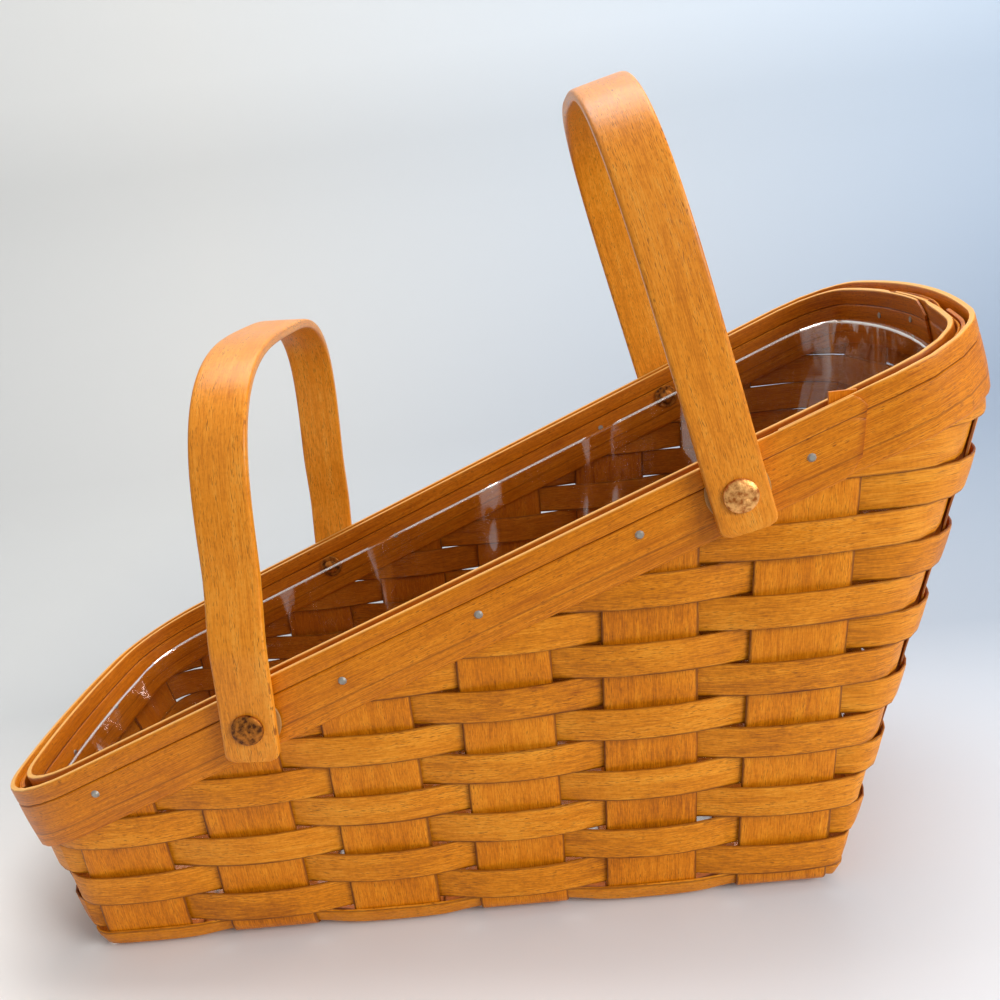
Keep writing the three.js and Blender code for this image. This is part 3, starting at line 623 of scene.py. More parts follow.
def upright(place_of, layer, top, first_sign):
    """Sections of one upright from the rim to the base edge."""
    across, height = stake_shape[:, 0], stake_shape[:, 1]
    sections = []
    for z in np.linspace(top, BEND_TOP, max(int((top - BEND_TOP) / RING_PITCH), 4)):
        row_turn = (z - FIRST_ROW_BOTTOM) / ROW_PITCH
        swing = -STAKE_SWING * first_sign * math.sin(math.pi * row_turn)
        zs = np.full(across.shape, z)
        points, _ = wall_point(place_of(across, zs), zs, height + swing)
        sections.append(points)
    radius = BEND_TOP - layer
    for angle in np.radians(np.linspace(90, 0, BEND_RINGS))[1:]:
        zs = np.full(across.shape, BEND_TOP)
        out = (radius + height) * math.sin(angle) - radius
        points, _ = wall_point(place_of(across, zs), zs, out)
        points[:, 2] = BEND_TOP - (radius + height) * math.cos(angle)
        sections.append(points)
    return np.array(sections)


def stake_piece(name, low, middle, tall, number):
    sections = np.concatenate([low, middle, tall[::-1]])
    grain = grain_along(sections, stake_shape[:, 0] * STAKE_WIDTH, number * OWN_GRAIN)
    # Painted shade: the faces that look into the basket are marked for darkening.
    inner = np.tile(stake_shape[:, 1] < 0, len(sections))
    return piece_from(name, sections.reshape(-1, 3), skin(sections), grain, stake_wood, inner)


def trim_above(piece, drop):
    """Cuts a piece along the slant, a drop below the rim's plane, and closes the cut."""
    work = bmesh.new()
    work.from_mesh(piece.data)
    at = Vector(((low_end_x(LOW_RIM) + SHIFT) * MM, 0, (LOW_RIM - drop) * MM))
    up = Vector((-RIM_SLOPE, 0, 1)).normalized()
    geometry = work.verts[:] + work.edges[:] + work.faces[:]
    cut = bmesh.ops.bisect_plane(work, geom=geometry, plane_co=at, plane_no=up, clear_outer=True)
    rim = [e for e in cut["geom_cut"] if isinstance(e, bmesh.types.BMEdge)]
    bmesh.ops.holes_fill(work, edges=rim, sides=0)
    work.to_mesh(piece.data)
    work.free()
    turn_outwards(piece.data)
    return finish_edges(piece)


# %% The nine stakes
stakes = []
across = (stake_shape[:, 0] - 0.5) * STAKE_WIDTH
for i in range(CROSS_STAKES):
    top = float(rim_z(cross_stake_x(i, TALL_RIM) + STAKE_WIDTH))
    first_sign = -1 if i % 2 else 1
    near, far = (upright(place_across(on, cross_stake_x, i), CROSS_LAYER, top, first_sign)
                 for on in (on_near, on_far))
    x = cross_stake_x(i, 0) + across
    flat = np.array([
        np.stack([x, np.full(x.shape, y), CROSS_LAYER - stake_shape[:, 1]], -1)
        for y in np.linspace(-CROSS_RUN, CROSS_RUN, 40)])
    stakes.append(stake_piece(f"cross_stake_strip_{i + 1}", near, flat, far, i + 1))

centres = np.array([cross_stake_x(c, 0) for c in range(CROSS_STAKES)])
order = np.argsort(centres)
keys = np.concatenate([[c - LEVEL_HALF, c + LEVEL_HALF] for c in centres[order]])
for i in range(LONG_STAKES):
    first_sign = 1 if i % 2 else -1
    low = upright(place_across(on_low_end, long_stake_y, i), long_layer(i, CROSS_STAKES - 1),
                  LOW_RIM + OVER_RIM, first_sign)
    tall = upright(place_across(on_tall_end, long_stake_y, i), long_layer(i, 0),
                   TALL_RIM + OVER_RIM, -first_sign)
    layers = np.array([long_layer(i, c) for c in range(CROSS_STAKES)])
    xs = np.linspace(-LONG_RUN, LONG_RUN, 90)
    level = np.interp(xs, keys, np.repeat(layers[order], 2))
    y = long_stake_y(i, 0) + across
    flat = np.array([
        np.stack([np.full(y.shape, x), y, z - stake_shape[:, 1]], -1) for x, z in zip(xs, level)])
    stakes.append(stake_piece(f"long_stake_strip_{i + 1}", low, flat, tall, i + 11))

for stake in stakes:
    trim_above(stake, STAKE_TOP_DROP)

# %% The square-cut corner
CORNER_LEFT, CORNER_RISE, CORNER_DEPTH = 143.0, 3.4, 9
corner_top = float(rim_z(CORNER_LEFT)) + CORNER_RISE
half = STAKE_THICKNESS / 2
corner_shape = np.array([(0, -half), (1, -half), (1, half), (0, half)])
corner = []
for z in np.linspace(corner_top - CORNER_DEPTH, corner_top, 6):
    x = CORNER_LEFT + corner_shape[:, 0] * CORNER_RISE / RIM_SLOPE
    corner.append(wall_point(on_near(x, np.full(4, z)), np.full(4, z), corner_shape[:, 1])[0])
corner = np.array(corner)
grain = np.stack([corner[..., 2] * MM, corner[..., 0] * MM,
                  np.full(corner.shape[:2], OWN_GRAIN)], -1)
corner = piece_from("stake corner", corner.reshape(-1, 3), skin(corner), grain.reshape(-1, 3),
                    stake_wood, np.zeros(corner.shape[:2]))
both = [stakes[0], corner]
with bpy.context.temp_override(active_object=stakes[0], selected_editable_objects=both):
    bpy.ops.object.join()
finish_edges(stakes[0])
print("stakes:", len(stakes), "faces:", sum(len(s.data.polygons) for s in stakes))

# %% [markdown]
# ## A sheet to weave on
#
# The weave is regular when it is laid out flat: rows above each other, and
# every row over one stake and under the next. So the rows are made flat and
# then wrapped round the wall. The wrap needs a sheet that has the wall's
# shape, a flat map of it as its UV map, and which way is out at each point.
# The sheet is only a helper and is removed when the rows are done.

# %% The wall's sheet
SHEET_TOP, SHEET_FOLD = 218.0, 6.0
SHEET_COLUMNS, SHEET_ROWS = STAKES_ROUND * 22, 75
ROUNDNESS, INWARDS_MOST = [0.03, 0.2], [20, 3.6]  # how far inwards a fold goes, less at corners


def bend_layer(count):
    """The layer of the stake that bends under a place, in millimetres above the floor."""
    keys = [0.5, 5.5, 6.5, 7.5, 8.5, 9.5, 14.5, 15.5, 16.5, 17.5, 18.5]
    last = CROSS_STAKES - 1
    layers = [CROSS_LAYER, CROSS_LAYER, *[long_layer(i, 0) for i in range(3)], CROSS_LAYER,
              CROSS_LAYER, *[long_layer(i, last) for i in (2, 1, 0)], CROSS_LAYER]
    return np.interp(count, keys, layers)


def wall_sheet():
    """The sheet as an object, with the attribute out and a flat map."""
    counts = np.linspace(0, STAKES_ROUND, SHEET_COLUMNS + 1)
    points, outs, flat = [], [], []
    for height in np.linspace(-SHEET_FOLD, SHEET_TOP, SHEET_ROWS + 1):
        z = np.full(counts.shape, max(height, BEND_TOP))
        at, out = wall_point(distance_along(counts, z), z)
        if height < BEND_TOP:
            radius = BEND_TOP - bend_layer(counts)
            turned = (BEND_TOP - height) / radius
            angle = math.pi / 2 - np.minimum(turned, math.pi / 2)
            flat_part = radius * np.maximum(turned - math.pi / 2, 0)
            inwards = radius * (1 - np.sin(angle)) + flat_part
            at_corner = 2 * np.abs(out[:, 0] * out[:, 1])
            inwards = np.minimum(inwards, np.interp(at_corner, ROUNDNESS, INWARDS_MOST))
            at = at - out * inwards[:, None]
            at[:, 2] = BEND_TOP - radius * np.cos(angle)
            out = out * np.sin(angle)[:, None]
            out[:, 2] = -np.cos(angle)
        points.append(at)
        outs.append(out)
        up_the_map = (height + SHEET_FOLD) / (SHEET_TOP + SHEET_FOLD)
        flat.append(np.stack([counts / STAKES_ROUND, np.full(counts.shape, up_the_map)], -1))
    points, outs, flat = (np.concatenate(a) for a in (points, outs, flat))
    width = SHEET_COLUMNS + 1
    faces = [(r * width + c, r * width + c + 1, (r + 1) * width + c + 1, (r + 1) * width + c)
             for r in range(SHEET_ROWS) for c in range(SHEET_COLUMNS)]
    mesh = bpy.data.meshes.new("wall sheet")
    mesh.from_pydata(((points + [SHIFT, 0, 0]) * MM).tolist(), [], faces)
    mesh.attributes.new("out", "FLOAT_VECTOR", "POINT").data.foreach_set("vector", outs.ravel())
    layer = mesh.uv_layers.new(name="flat map")
    corners = np.zeros(len(mesh.loops), int)
    mesh.loops.foreach_get("vertex_index", corners)
    layer.data.foreach_set("uv", flat[corners].ravel())
    return in_scene("wall sheet", mesh)


sheet = wall_sheet()
print("sheet faces:", len(sheet.data.polygons))

# %% [markdown]
# ## The woven rows
#
# Fourteen half-inch weavers are woven between the stakes, and one more is
# tucked round the base edge, with its lower part folded flat under the base.
# Row by row they pass outside the stakes that the row below passes inside.
# Modelling each row by hand would be slow and never quite regular. A node tree
# does it by rule: it sweeps one flat strip, copies it for each row, wraps it on
# the sheet and swings it in and out by a softened sine. Its inputs are the
# maker's own sizes. Close under the rim the bands hold the rows flatter, so
# the swing is smaller there.

# %% Helpers for Geometry Nodes
def new_tree(name, sockets):
    """A Geometry Nodes tree with named inputs, and the identifier of each."""
    tree = bpy.data.node_groups.new(name, "GeometryNodeTree")
    made = {}
    for label, kind, value in sockets:
        socket = tree.interface.new_socket(name=label, in_out="INPUT", socket_type=kind)
        if value is not None:
            socket.default_value = value
        made[label] = socket.identifier
    tree.interface.new_socket(name="Geometry", in_out="OUTPUT", socket_type="NodeSocketGeometry")
    return tree, made


def stored(tree, geometry, name, value, kind="FLOAT", domain="POINT"):
    return add(tree, "GeometryNodeStoreNamedAttribute", data_type=kind, domain=domain,
               inputs={"Geometry": geometry, "Name": name, "Value": value}).outputs["Geometry"]


def read(tree, name, kind="FLOAT"):
    return add(tree, "GeometryNodeInputNamedAttribute", {"Name": name},
               data_type=kind).outputs["Attribute"]


def position(tree):
    return add(tree, "GeometryNodeInputPosition").outputs[0]


def put(tree, geometry, **where):
    """Moves geometry to a Position, or by an Offset."""
    return add(tree, "GeometryNodeSetPosition", {"Geometry": geometry, **where}).outputs[0]


def section_ring(tree, points, squareness, edge_squareness):
    """A strip's squared-off section; each point knows its share across and through it."""
    ring = add(tree, "GeometryNodeCurvePrimitiveCircle",
               {"Resolution": points, "Radius": 1.0}).outputs[0]
    corner = split(tree, position(tree))
    for name, axis, power in (("across", "X", squareness), ("through", "Y", edge_squareness)):
        size = calc(tree, "POWER", calc(tree, "ABSOLUTE", corner[axis]), power)
        share = product(tree, size, calc(tree, "SIGN", corner[axis]), 0.5)
        ring = stored(tree, ring, name, share)
    return ring


def swept(tree, path, ring):
    return add(tree, "GeometryNodeCurveToMesh",
               {"Curve": path, "Profile Curve": ring, "Fill Caps": True}).outputs[0]


def finished(tree, geometry, material):
    """Ends a tree with real meshes instead of instances, a material and the output."""
    geometry = add(tree, "GeometryNodeRealizeInstances", {"Geometry": geometry}).outputs[0]
    geometry = add(tree, "GeometryNodeSetMaterial",
                   {"Geometry": geometry, "Material": material}).outputs[0]
    add(tree, "NodeGroupOutput", {"Geometry": geometry})


# %% The weaving tree
HELD_FROM, FREE_FROM = 0.022, 0.046  # metres below the rim, for a row's held and full swing


def weaving_tree():
    number, whole = "NodeSocketFloat", "NodeSocketInt"
    tree, sockets = new_tree("woven rows", [
        ("Geometry", "NodeSocketGeometry", None), ("Wall", "NodeSocketObject", None),
        ("Rows", whole, 14), ("First turn", number, 1.0), ("First middle", number, 0.0145),
        ("Row pitch", number, 0.0127), ("Strip width", number, 0.0124),
        ("Strip thickness", number, 0.001), ("Swing", number, 0.0015),
        ("Softness", number, 0.35), ("Crown", number, 0.00015), ("Wobble", number, 0.0004),
        ("Rim height", number, 0.139), ("Rim slope", number, 0.381), ("Held swing", number, 0.6),
        ("Stakes", whole, 18), ("Steps per stake", whole, 14), ("Sheet height", number, 0.224),
        ("Sheet fold", number, 0.006), ("Seed", number, 3.0),
        ("Wood", "NodeSocketMaterial", None)])
    given = tree.nodes.new("NodeGroupInput").outputs

    line = add(tree, "GeometryNodeCurvePrimitiveLine", {"End": (1, 0, 0)}).outputs[0]
    count = product(tree, given["Stakes"], given["Steps per stake"])
    line = add(tree, "GeometryNodeResampleCurve", {"Curve": line, "Count": count},
               mode="COUNT").outputs[0]
    share = add(tree, "GeometryNodeSplineParameter").outputs["Factor"]
    line = stored(tree, line, "share round", share)
    strip = swept(tree, line, section_ring(tree, 16, 0.3, 0.3))

    starts = add(tree, "GeometryNodeMeshLine", {"Count": given["Rows"]}).outputs[0]
    rows = add(tree, "GeometryNodeInstanceOnPoints",
               {"Points": starts, "Instance": strip}).outputs[0]
    rows = stored(tree, rows, "row", add(tree, "GeometryNodeInputIndex").outputs[0],
                  domain="INSTANCE")
    rows = add(tree, "GeometryNodeRealizeInstances", {"Geometry": rows}).outputs[0]

    # How far each point swings out: a sine over the stakes, with softened tops.
    row, share = read(tree, "row"), read(tree, "share round")
    across, through = read(tree, "across"), read(tree, "through")
    stake = product(tree, share, given["Stakes"])
    turn = total(tree, row, given["First turn"], stake)
    sine = calc(tree, "SINE", product(tree, turn, math.pi))
    soft = calc(tree, "POWER", given["Softness"], 2.0)
    level = calc(tree, "SQRT", total(tree, calc(tree, "POWER", sine, 2.0), soft))
    whole_swing = calc(tree, "SQRT", total(tree, soft, 1.0))
    swing = product(tree, calc(tree, "DIVIDE", sine, level), whole_swing)

    # Where each point lies on the flat map: its row's height, with a slow wobble.
    where = combined(tree, product(tree, stake, 0.9), product(tree, row, 5.7), given["Seed"])
    wobble = product(tree, calc(tree, "SUBTRACT", noise(tree, where, 1.0, 2.0), 0.5),
                     given["Wobble"])
    height = total(tree, given["First middle"], product(tree, row, given["Row pitch"]),
                   product(tree, across, given["Strip width"]), wobble)
    up_the_map = calc(tree, "DIVIDE", total(tree, height, given["Sheet fold"]),
                      given["Sheet height"])
    flat = combined(tree, share, up_the_map)

    # The same place on the wall, and which way is out there.
    wall = add(tree, "GeometryNodeObjectInfo", {"Object": given["Wall"]}).outputs["Geometry"]
    flat_map = read(tree, "flat map", "FLOAT_VECTOR")

    def on_wall(value):
        return add(tree, "GeometryNodeSampleUVSurface", data_type="FLOAT_VECTOR",
                   inputs={"Mesh": wall, "Value": value, "UV Map": flat_map,
                           "Sample UV": flat}).outputs["Value"]

    at, direction = on_wall(position(tree)), on_wall(read(tree, "out", "FLOAT_VECTOR"))
    spot = split(tree, at)
    rim = total(tree, given["Rim height"], product(tree, spot["X"], given["Rim slope"]))
    freedom = remapped(tree, calc(tree, "SUBTRACT", rim, spot["Z"]), HELD_FROM, FREE_FROM,
                       given["Held swing"], 1.0, interpolation_type="SMOOTHSTEP")
    crown = calc(tree, "SUBTRACT", 1.0, product(tree, calc(tree, "POWER", across, 2.0), 4.0))
    out = total(tree, product(tree, swing, given["Swing"], freedom),
                product(tree, through, given["Strip thickness"]),
                product(tree, crown, given["Crown"]))
    place = vector_calc(tree, "ADD", at, vector_calc(tree, "SCALE", direction, out))
    rows = put(tree, rows, Position=place)
    grain = combined(tree, product(tree, stake, STAKE_PITCH * MM),
                     product(tree, across, given["Strip width"]),
                     total(tree, product(tree, row, 0.83), given["First turn"]))
    rows = stored(tree, rows, "grain", grain, kind="FLOAT_VECTOR")
    # Painted shade: the faces of the rows that look into the basket are marked for darkening.
    rows = stored(tree, rows, "inner", calc(tree, "LESS_THAN", through, -0.1))
    finished(tree, rows, given["Wood"])
    return tree, sockets


# %% Make a tree's result a plain mesh
def grown(name, tree, sockets, values, points=((0, 0, 0),), edges=(), outs=None):
    """What a tree makes of some points, which may carry a direction out, as a plain mesh."""
    start = bpy.data.meshes.new(name + " start")
    start.from_pydata(points, edges, [])
    if outs is not None:
        start.attributes.new("out", "FLOAT_VECTOR", "POINT").data.foreach_set(
            "vector", np.ravel(outs))
    seed = in_scene(name + " start", start)
    modifier = seed.modifiers.new("tree", "NODES")
    modifier.node_group = tree
    for label, value in values.items():
        modifier[sockets[label]] = value
    seed.update_tag()
    result = plain_mesh(seed)
    result.name = name
    bpy.data.objects.remove(seed)
    return result


# %% Weave the rows
TUCKED_MIDDLE, TUCKED_WIDTH, ROW_THICKNESS, ROW_DROP = 2.9, 13.8, 1.0, 18.8
weaving, weaving_inputs = weaving_tree()
on_this_wall = {
    "Wall": sheet, "Row pitch": ROW_PITCH * MM, "Strip thickness": ROW_THICKNESS * MM,
    "Rim height": float(rim_z(-SHIFT)) * MM, "Rim slope": RIM_SLOPE, "Stakes": STAKES_ROUND,
    "Steps per stake": 14, "Sheet height": (SHEET_TOP + SHEET_FOLD) * MM,
    "Sheet fold": SHEET_FOLD * MM, "Wood": weaver_wood}
rows = in_scene("woven_rows", grown("woven_rows", weaving, weaving_inputs, {
    **on_this_wall, "Rows": 14, "First turn": 1.0,
    "First middle": (FIRST_ROW_BOTTOM + ROW_WIDTH / 2) * MM, "Strip width": ROW_WIDTH * MM,
    "Swing": 2.8 * MM, "Softness": 1.3, "Crown": 0.15 * MM, "Wobble": 0.7 * MM,
    "Held swing": 0.54, "Seed": 3.0}))
tucked_row = in_scene("tucked_row", grown("tucked_row", weaving, weaving_inputs, {
    **on_this_wall, "Rows": 1, "First turn": 0.0, "First middle": TUCKED_MIDDLE * MM,
    "Strip width": TUCKED_WIDTH * MM, "Swing": 1.25 * MM, "Softness": 0.6, "Crown": 0.0,
    "Wobble": 0.2 * MM, "Held swing": 0.62, "Seed": 8.0}))
for piece in (rows, tucked_row):
    trim_above(piece, ROW_DROP)
    print(piece.name, "faces:", len(piece.data.polygons))
bpy.data.objects.remove(sheet)

# %% [markdown]
# ## The rim
#
# Three layers hold the rim: a wide weaver behind, and two thin bent bands,
# one outside and one inside, whose ends lap over each other. All three keep
# the same drop below the slanted plane all the way round. The plane's height
# depends on x, and x on the height, so the rule is run a few times until it
# settles. The outer band has a fine groove near its top edge and a soft
# crease near the bottom.

# %% Strips along the rim
ROUNDS_TO_SETTLE = 14


def rim_points(count, drop, n):
    """Points at places counted in stakes, a drop below the rim's plane, moved out by n."""
    count, drop, n = np.broadcast_arrays(count, drop, n)
    z = np.full(count.shape, (LOW_RIM + TALL_RIM) / 2)
    for _ in range(ROUNDS_TO_SETTLE):
        s = distance_along(count.ravel(), z.ravel()).reshape(z.shape)
        points, _ = wall_point(s, z, n)
        z = rim_z(points[..., 0]) - drop
    points[..., 2] = z
    return points


def rim_strip(name, counts, drops, outs, number, material, inner):
    """A strip whose section at each place is given by drops and outs, (places, points)."""
    places = np.repeat(counts[:, None], drops.shape[1], 1)
    sections = rim_points(places % STAKES_ROUND, drops, outs)
    return finish_edges(piece_from(name, sections.reshape(-1, 3), skin(sections),
                                   grain_along(sections, drops, number), material,
                                   np.broadcast_to(inner, drops.shape)))


RIM_ROW_TOP, RIM_ROW_WIDTH, RIM_ROW_SWING = 2.5, 16, 1.4
RIM_ROW_SEAM = 0.02  # how far each of its ends stops short of the start, in stakes
rim_row_shape = strip_profile(RIM_ROW_WIDTH, ROW_THICKNESS, 0.5, across=4)
counts = np.linspace(RIM_ROW_SEAM, STAKES_ROUND - RIM_ROW_SEAM, STAKES_ROUND * 12)
swing = wave_round(counts, 1) * RIM_ROW_SWING
down = RIM_ROW_TOP + RIM_ROW_WIDTH * np.repeat(1 - rim_row_shape[None, :, 0], len(counts), 0)
# Painted shade: the faces that look into the basket are marked for darkening.
rim_row = rim_strip("rim_row", counts, down, swing[:, None] + rim_row_shape[None, :, 1], 0.61,
                    weaver_wood, rim_row_shape[:, 1] < 0)
print("rim row faces:", len(rim_row.data.polygons))

# %% [markdown]
# ### The two bands
#
# A band starts at its tip, goes once round and ends under its own start. Its
# distance from the weave and its thickness change along the lap, where both
# ends are shaved thin. Its section is a list of points: how far down, and how
# far out between the weave and the face that shows.

# %% Bands
BAND_NEAR, BAND_FAR, BAND_WIDTH = 2.5, 4.5, 26.8
LAP_THICKNESS = 0.9
BAND_SECTION = np.array([
    (0.985, 0.0), (0.6, 0.0), (0.3, 0.0), (0.015, 0.0), (0.0, 0.12), (0.0, 0.86), (0.012, 0.97),
    (0.03, 1.0), (0.13, 1.0), (0.245, 1.0), (0.256, 0.97), (0.264, 0.80), (0.272, 0.74),
    (0.280, 0.82), (0.290, 0.99), (0.32, 1.02), (0.5, 1.04), (0.68, 1.02), (0.745, 0.985),
    (0.765, 0.95), (0.80, 0.93), (0.9, 0.86), (0.97, 0.78), (0.99, 0.70), (1.0, 0.55),
    (1.0, 0.12)])


def band(name, sign, tip, way, lap, number):
    """A band on one side of the weave, from its tip, counted in stakes, one way round."""
    turns = STAKES_ROUND
    t = np.concatenate([np.linspace(0, lap, 14)[:-1], np.linspace(lap, turns, turns * 11)[:-1],
                        np.linspace(turns, turns + lap * 0.9, 12)])
    counts = tip + way * t
    ease = lap * 0.16
    over_far = BAND_NEAR + 2 * LAP_THICKNESS + GAP
    near = np.interp(t, [0, lap, lap + ease, turns],
                     [over_far - LAP_THICKNESS] * 2 + [BAND_NEAR] * 2)
    far = np.interp(t, [0, lap, lap + ease, turns - ease, turns, turns + lap],
                    [over_far, over_far, BAND_FAR, BAND_FAR] + [BAND_NEAR + LAP_THICKNESS] * 2)
    shrink = np.interp(t, [0, ease * 0.35, ease, turns + lap], [0.2, 0.1, 0.0, 0.0])
    down = BAND_SECTION[None, :, 0]
    wave = 0.22 * np.sin(t * 2.3) + 0.16 * np.sin(t * 5.1 + 1)  # an edge planed by hand
    drops = BAND_WIDTH * (shrink[:, None] + (1 - 2 * shrink[:, None]) * down)
    drops = drops + wave[:, None] * np.clip(down - 0.6, 0, 1)
    outs = sign * (near[:, None] + (far - near)[:, None] * BAND_SECTION[None, :, 1])
    # Painted shade: the outer band is darkened at the tip of its lap, and the inner band, which
    # looks into the basket, all along.
    band_shade = np.interp(t, [0, lap * 0.08], [1.0, 0.0]) if sign > 0 else np.full(t.shape, 0.7)
    return rim_strip(name, counts, drops, outs, number, band_wood, band_shade[:, None])


def count_on_near(x):
    """The place, counted in stakes, of a point of the near side at the rim."""
    trial = np.linspace(0, 7, 1400)
    points = rim_points(trial, BAND_WIDTH / 2, 0.0)
    return float(trial[np.argmin(np.hypot(points[:, 0] - x, points[:, 1] + 90))])


OUTER_TIP, INNER_TIP = count_on_near(153), 7.5 - 22 / STAKE_PITCH
outer_band = band("outer_band", 1, OUTER_TIP + STAKES_ROUND, -1, 0.62, 0.27)
inner_band = band("inner_band", -1, INNER_TIP, 1, 0.7, 0.44)
print("outer tip at stake count", round(OUTER_TIP, 2),
      "band faces:", len(outer_band.data.polygons))

# %% [markdown]
# ## The handles
#
# Each handle is one steamed strip bent to a hoop with straight legs. Its
# crown follows a superellipse, squarer than a half circle. A sweep along that
# path suits it, so a small tree does it: the path is the piece's own points,
# joined in order, and the section is a rounded rectangle. The legs' ends are
# rounded by narrowing the strip over its last millimetres. Both legs are then
# bored in one go, a little wider than the rivets' shanks that they turn on.

# %% Sizes of the handles and their rivets
HANDLE_WIDTH, HANDLE_THICKNESS, END_LENGTH, LEG_FLAT, LEG_FLARE_TOP = 19.5, 4, 13, 10, 28
SHANK_RADIUS, BURR_RADIUS, SPACER_RADIUS = 2.5, 5.25, 10.8
WASHER_THICKNESS = 0.8
LOW_HANDLE = {"x": -62.2, "height": 129, "crown": 71, "half": 85, "power": 3.3, "lean": 3.8}
TALL_HANDLE = {"x": 112, "height": 137.8, "crown": 95, "half": 92.3, "power": 3.2, "lean": -12.3}
RIVET_DROP = 13
SPACER_NEAR = BAND_FAR + SIDE_FLARE * SPACER_RADIUS + GAP
HANDLE_NEAR = SPACER_NEAR + WASHER_THICKNESS + GAP
HANDLE_FAR = HANDLE_NEAR + HANDLE_THICKNESS
HEAD_NEAR = HANDLE_FAR + GAP
BURR_FAR = -(BAND_FAR + SIDE_FLARE * BURR_RADIUS + GAP)


def rivet_height(handle):
    return rim_z(handle["x"]) - RIVET_DROP


def wall_y(z):
    return BASE_WIDTH / 2 + SIDE_FLARE * z


def hoop_line(handle):
    """The middle of the strip from leg to leg: (y, height over the rivet)."""
    pivot = wall_y(rivet_height(handle)) + HANDLE_FAR
    shoulder = handle["height"] - handle["crown"]
    flare = pivot + SIDE_FLARE * (LEG_FLARE_TOP - LEG_FLAT)
    face = [(pivot, h) for h in np.linspace(-END_LENGTH, LEG_FLAT, 12)] + [(flare, LEG_FLARE_TOP)]
    for f in np.linspace(0, 1, 9)[1:-1]:
        ease = f * f * (3 - 2 * f)
        face.append((flare + (handle["half"] - flare) * ease,
                     LEG_FLARE_TOP + (shoulder - LEG_FLARE_TOP) * f))
    power = 2 / handle["power"]
    for angle in np.linspace(0, math.pi / 2, 34):
        c, s = max(math.cos(angle), 0.0), math.sin(angle)
        face.append((handle["half"] * c**power if angle < math.pi / 2 - 1e-6 else 0.0,
                     shoulder + handle["crown"] * s**power))
    half = np.array(face)
    half = half[np.concatenate([[True], np.linalg.norm(np.diff(half, axis=0), axis=1) > 0.2])]
    whole = np.concatenate([half, half[-2::-1] * [-1, 1]])
    along = np.gradient(whole, axis=0)
    along /= np.linalg.norm(along, axis=1)[:, None]
    inwards = np.stack([-along[:, 1], along[:, 0]], -1)
    return whole + inwards * HANDLE_THICKNESS / 2


# %% The bending tree
def bending_tree():
    number = "NodeSocketFloat"
    tree, sockets = new_tree("bent strip", [
        ("Geometry", "NodeSocketGeometry", None), ("Width", number, 0.0195),
        ("Thickness", number, 0.004), ("Squareness", number, 0.22),
        ("End rounding", number, 0.003), ("Step", number, 0.003),
        ("Grain number", number, 0.0), ("Wood", "NodeSocketMaterial", None)])
    given = tree.nodes.new("NodeGroupInput").outputs
    path = add(tree, "GeometryNodeMeshToCurve", {"Mesh": given["Geometry"]}).outputs[0]
    path = add(tree, "GeometryNodeResampleCurve", {"Curve": path, "Length": given["Step"]},
               mode="LENGTH").outputs[0]
    spline = add(tree, "GeometryNodeSplineParameter").outputs
    path = stored(tree, path, "along", spline["Length"])
    path = stored(tree, path, "share", spline["Factor"])
    tangent = add(tree, "GeometryNodeInputTangent").outputs[0]
    path = stored(tree, path, "inwards", vector_calc(tree, "CROSS_PRODUCT", tangent, (1, 0, 0)),
                  kind="FLOAT_VECTOR")
    path = stored(tree, path, "middle", position(tree), kind="FLOAT_VECTOR")
    strip = swept(tree, path, section_ring(tree, 28, given["Squareness"], 0.42))

    # The strip is narrower near its ends, by the circle of the end rounding.
    along, share = read(tree, "along"), read(tree, "share")
    across, through = read(tree, "across"), read(tree, "through")
    length = calc(tree, "DIVIDE", along, calc(tree, "MAXIMUM", share, 0.0001))
    to_end = calc(tree, "MINIMUM", along, calc(tree, "SUBTRACT", length, along))
    rounding = given["End rounding"]
    short = calc(tree, "MAXIMUM", calc(tree, "SUBTRACT", rounding, to_end), 0.0)
    squares = [calc(tree, "POWER", side, 2.0) for side in (rounding, short)]
    kept = calc(tree, "SQRT", calc(tree, "MAXIMUM", calc(tree, "SUBTRACT", *squares), 0.0))
    narrower = product(tree, calc(tree, "SUBTRACT", rounding, kept), 2.0)
    width = calc(tree, "SUBTRACT", given["Width"], narrower)

    deep = product(tree, through, given["Thickness"])
    side = combined(tree, product(tree, across, width))
    depth = vector_calc(tree, "SCALE", read(tree, "inwards", "FLOAT_VECTOR"), deep)
    place = vector_calc(tree, "ADD", read(tree, "middle", "FLOAT_VECTOR"),
                        vector_calc(tree, "ADD", side, depth))
    strip = put(tree, strip, Position=place)
    grain = combined(tree, along, total(tree, product(tree, across, given["Width"]), deep),
                     given["Grain number"])
    strip = stored(tree, strip, "grain", grain, kind="FLOAT_VECTOR")
    # Painted shade: the hoop's inner faces are marked a little darker.
    dim = product(tree, calc(tree, "GREATER_THAN", through, 0.2), 0.4)
    finished(tree, stored(tree, strip, "inner", dim), given["Wood"])
    return tree, sockets


bending, bending_inputs = bending_tree()


# %% Handles
DRILL_LENGTH = 0.3  # metres, through both legs


def bored(mesh, radius):
    """The hoop's mesh with a hole along Y, the rivets' axis, through both legs."""
    work = bmesh.new()
    bmesh.ops.create_cone(work, cap_ends=True, segments=28, radius1=radius, radius2=radius,
                          depth=DRILL_LENGTH, matrix=Matrix.Rotation(math.pi / 2, 4, "X"))
    tool = bpy.data.meshes.new("drill")
    work.to_mesh(tool)
    work.free()
    strip, drill = in_scene("strip", mesh), in_scene("drill", tool)
    cut = strip.modifiers.new("bore", "BOOLEAN")
    cut.operation, cut.object, cut.solver = "DIFFERENCE", drill, "EXACT"
    result = plain_mesh(strip)
    for thing in (strip, drill):
        bpy.data.objects.remove(thing)
    return result


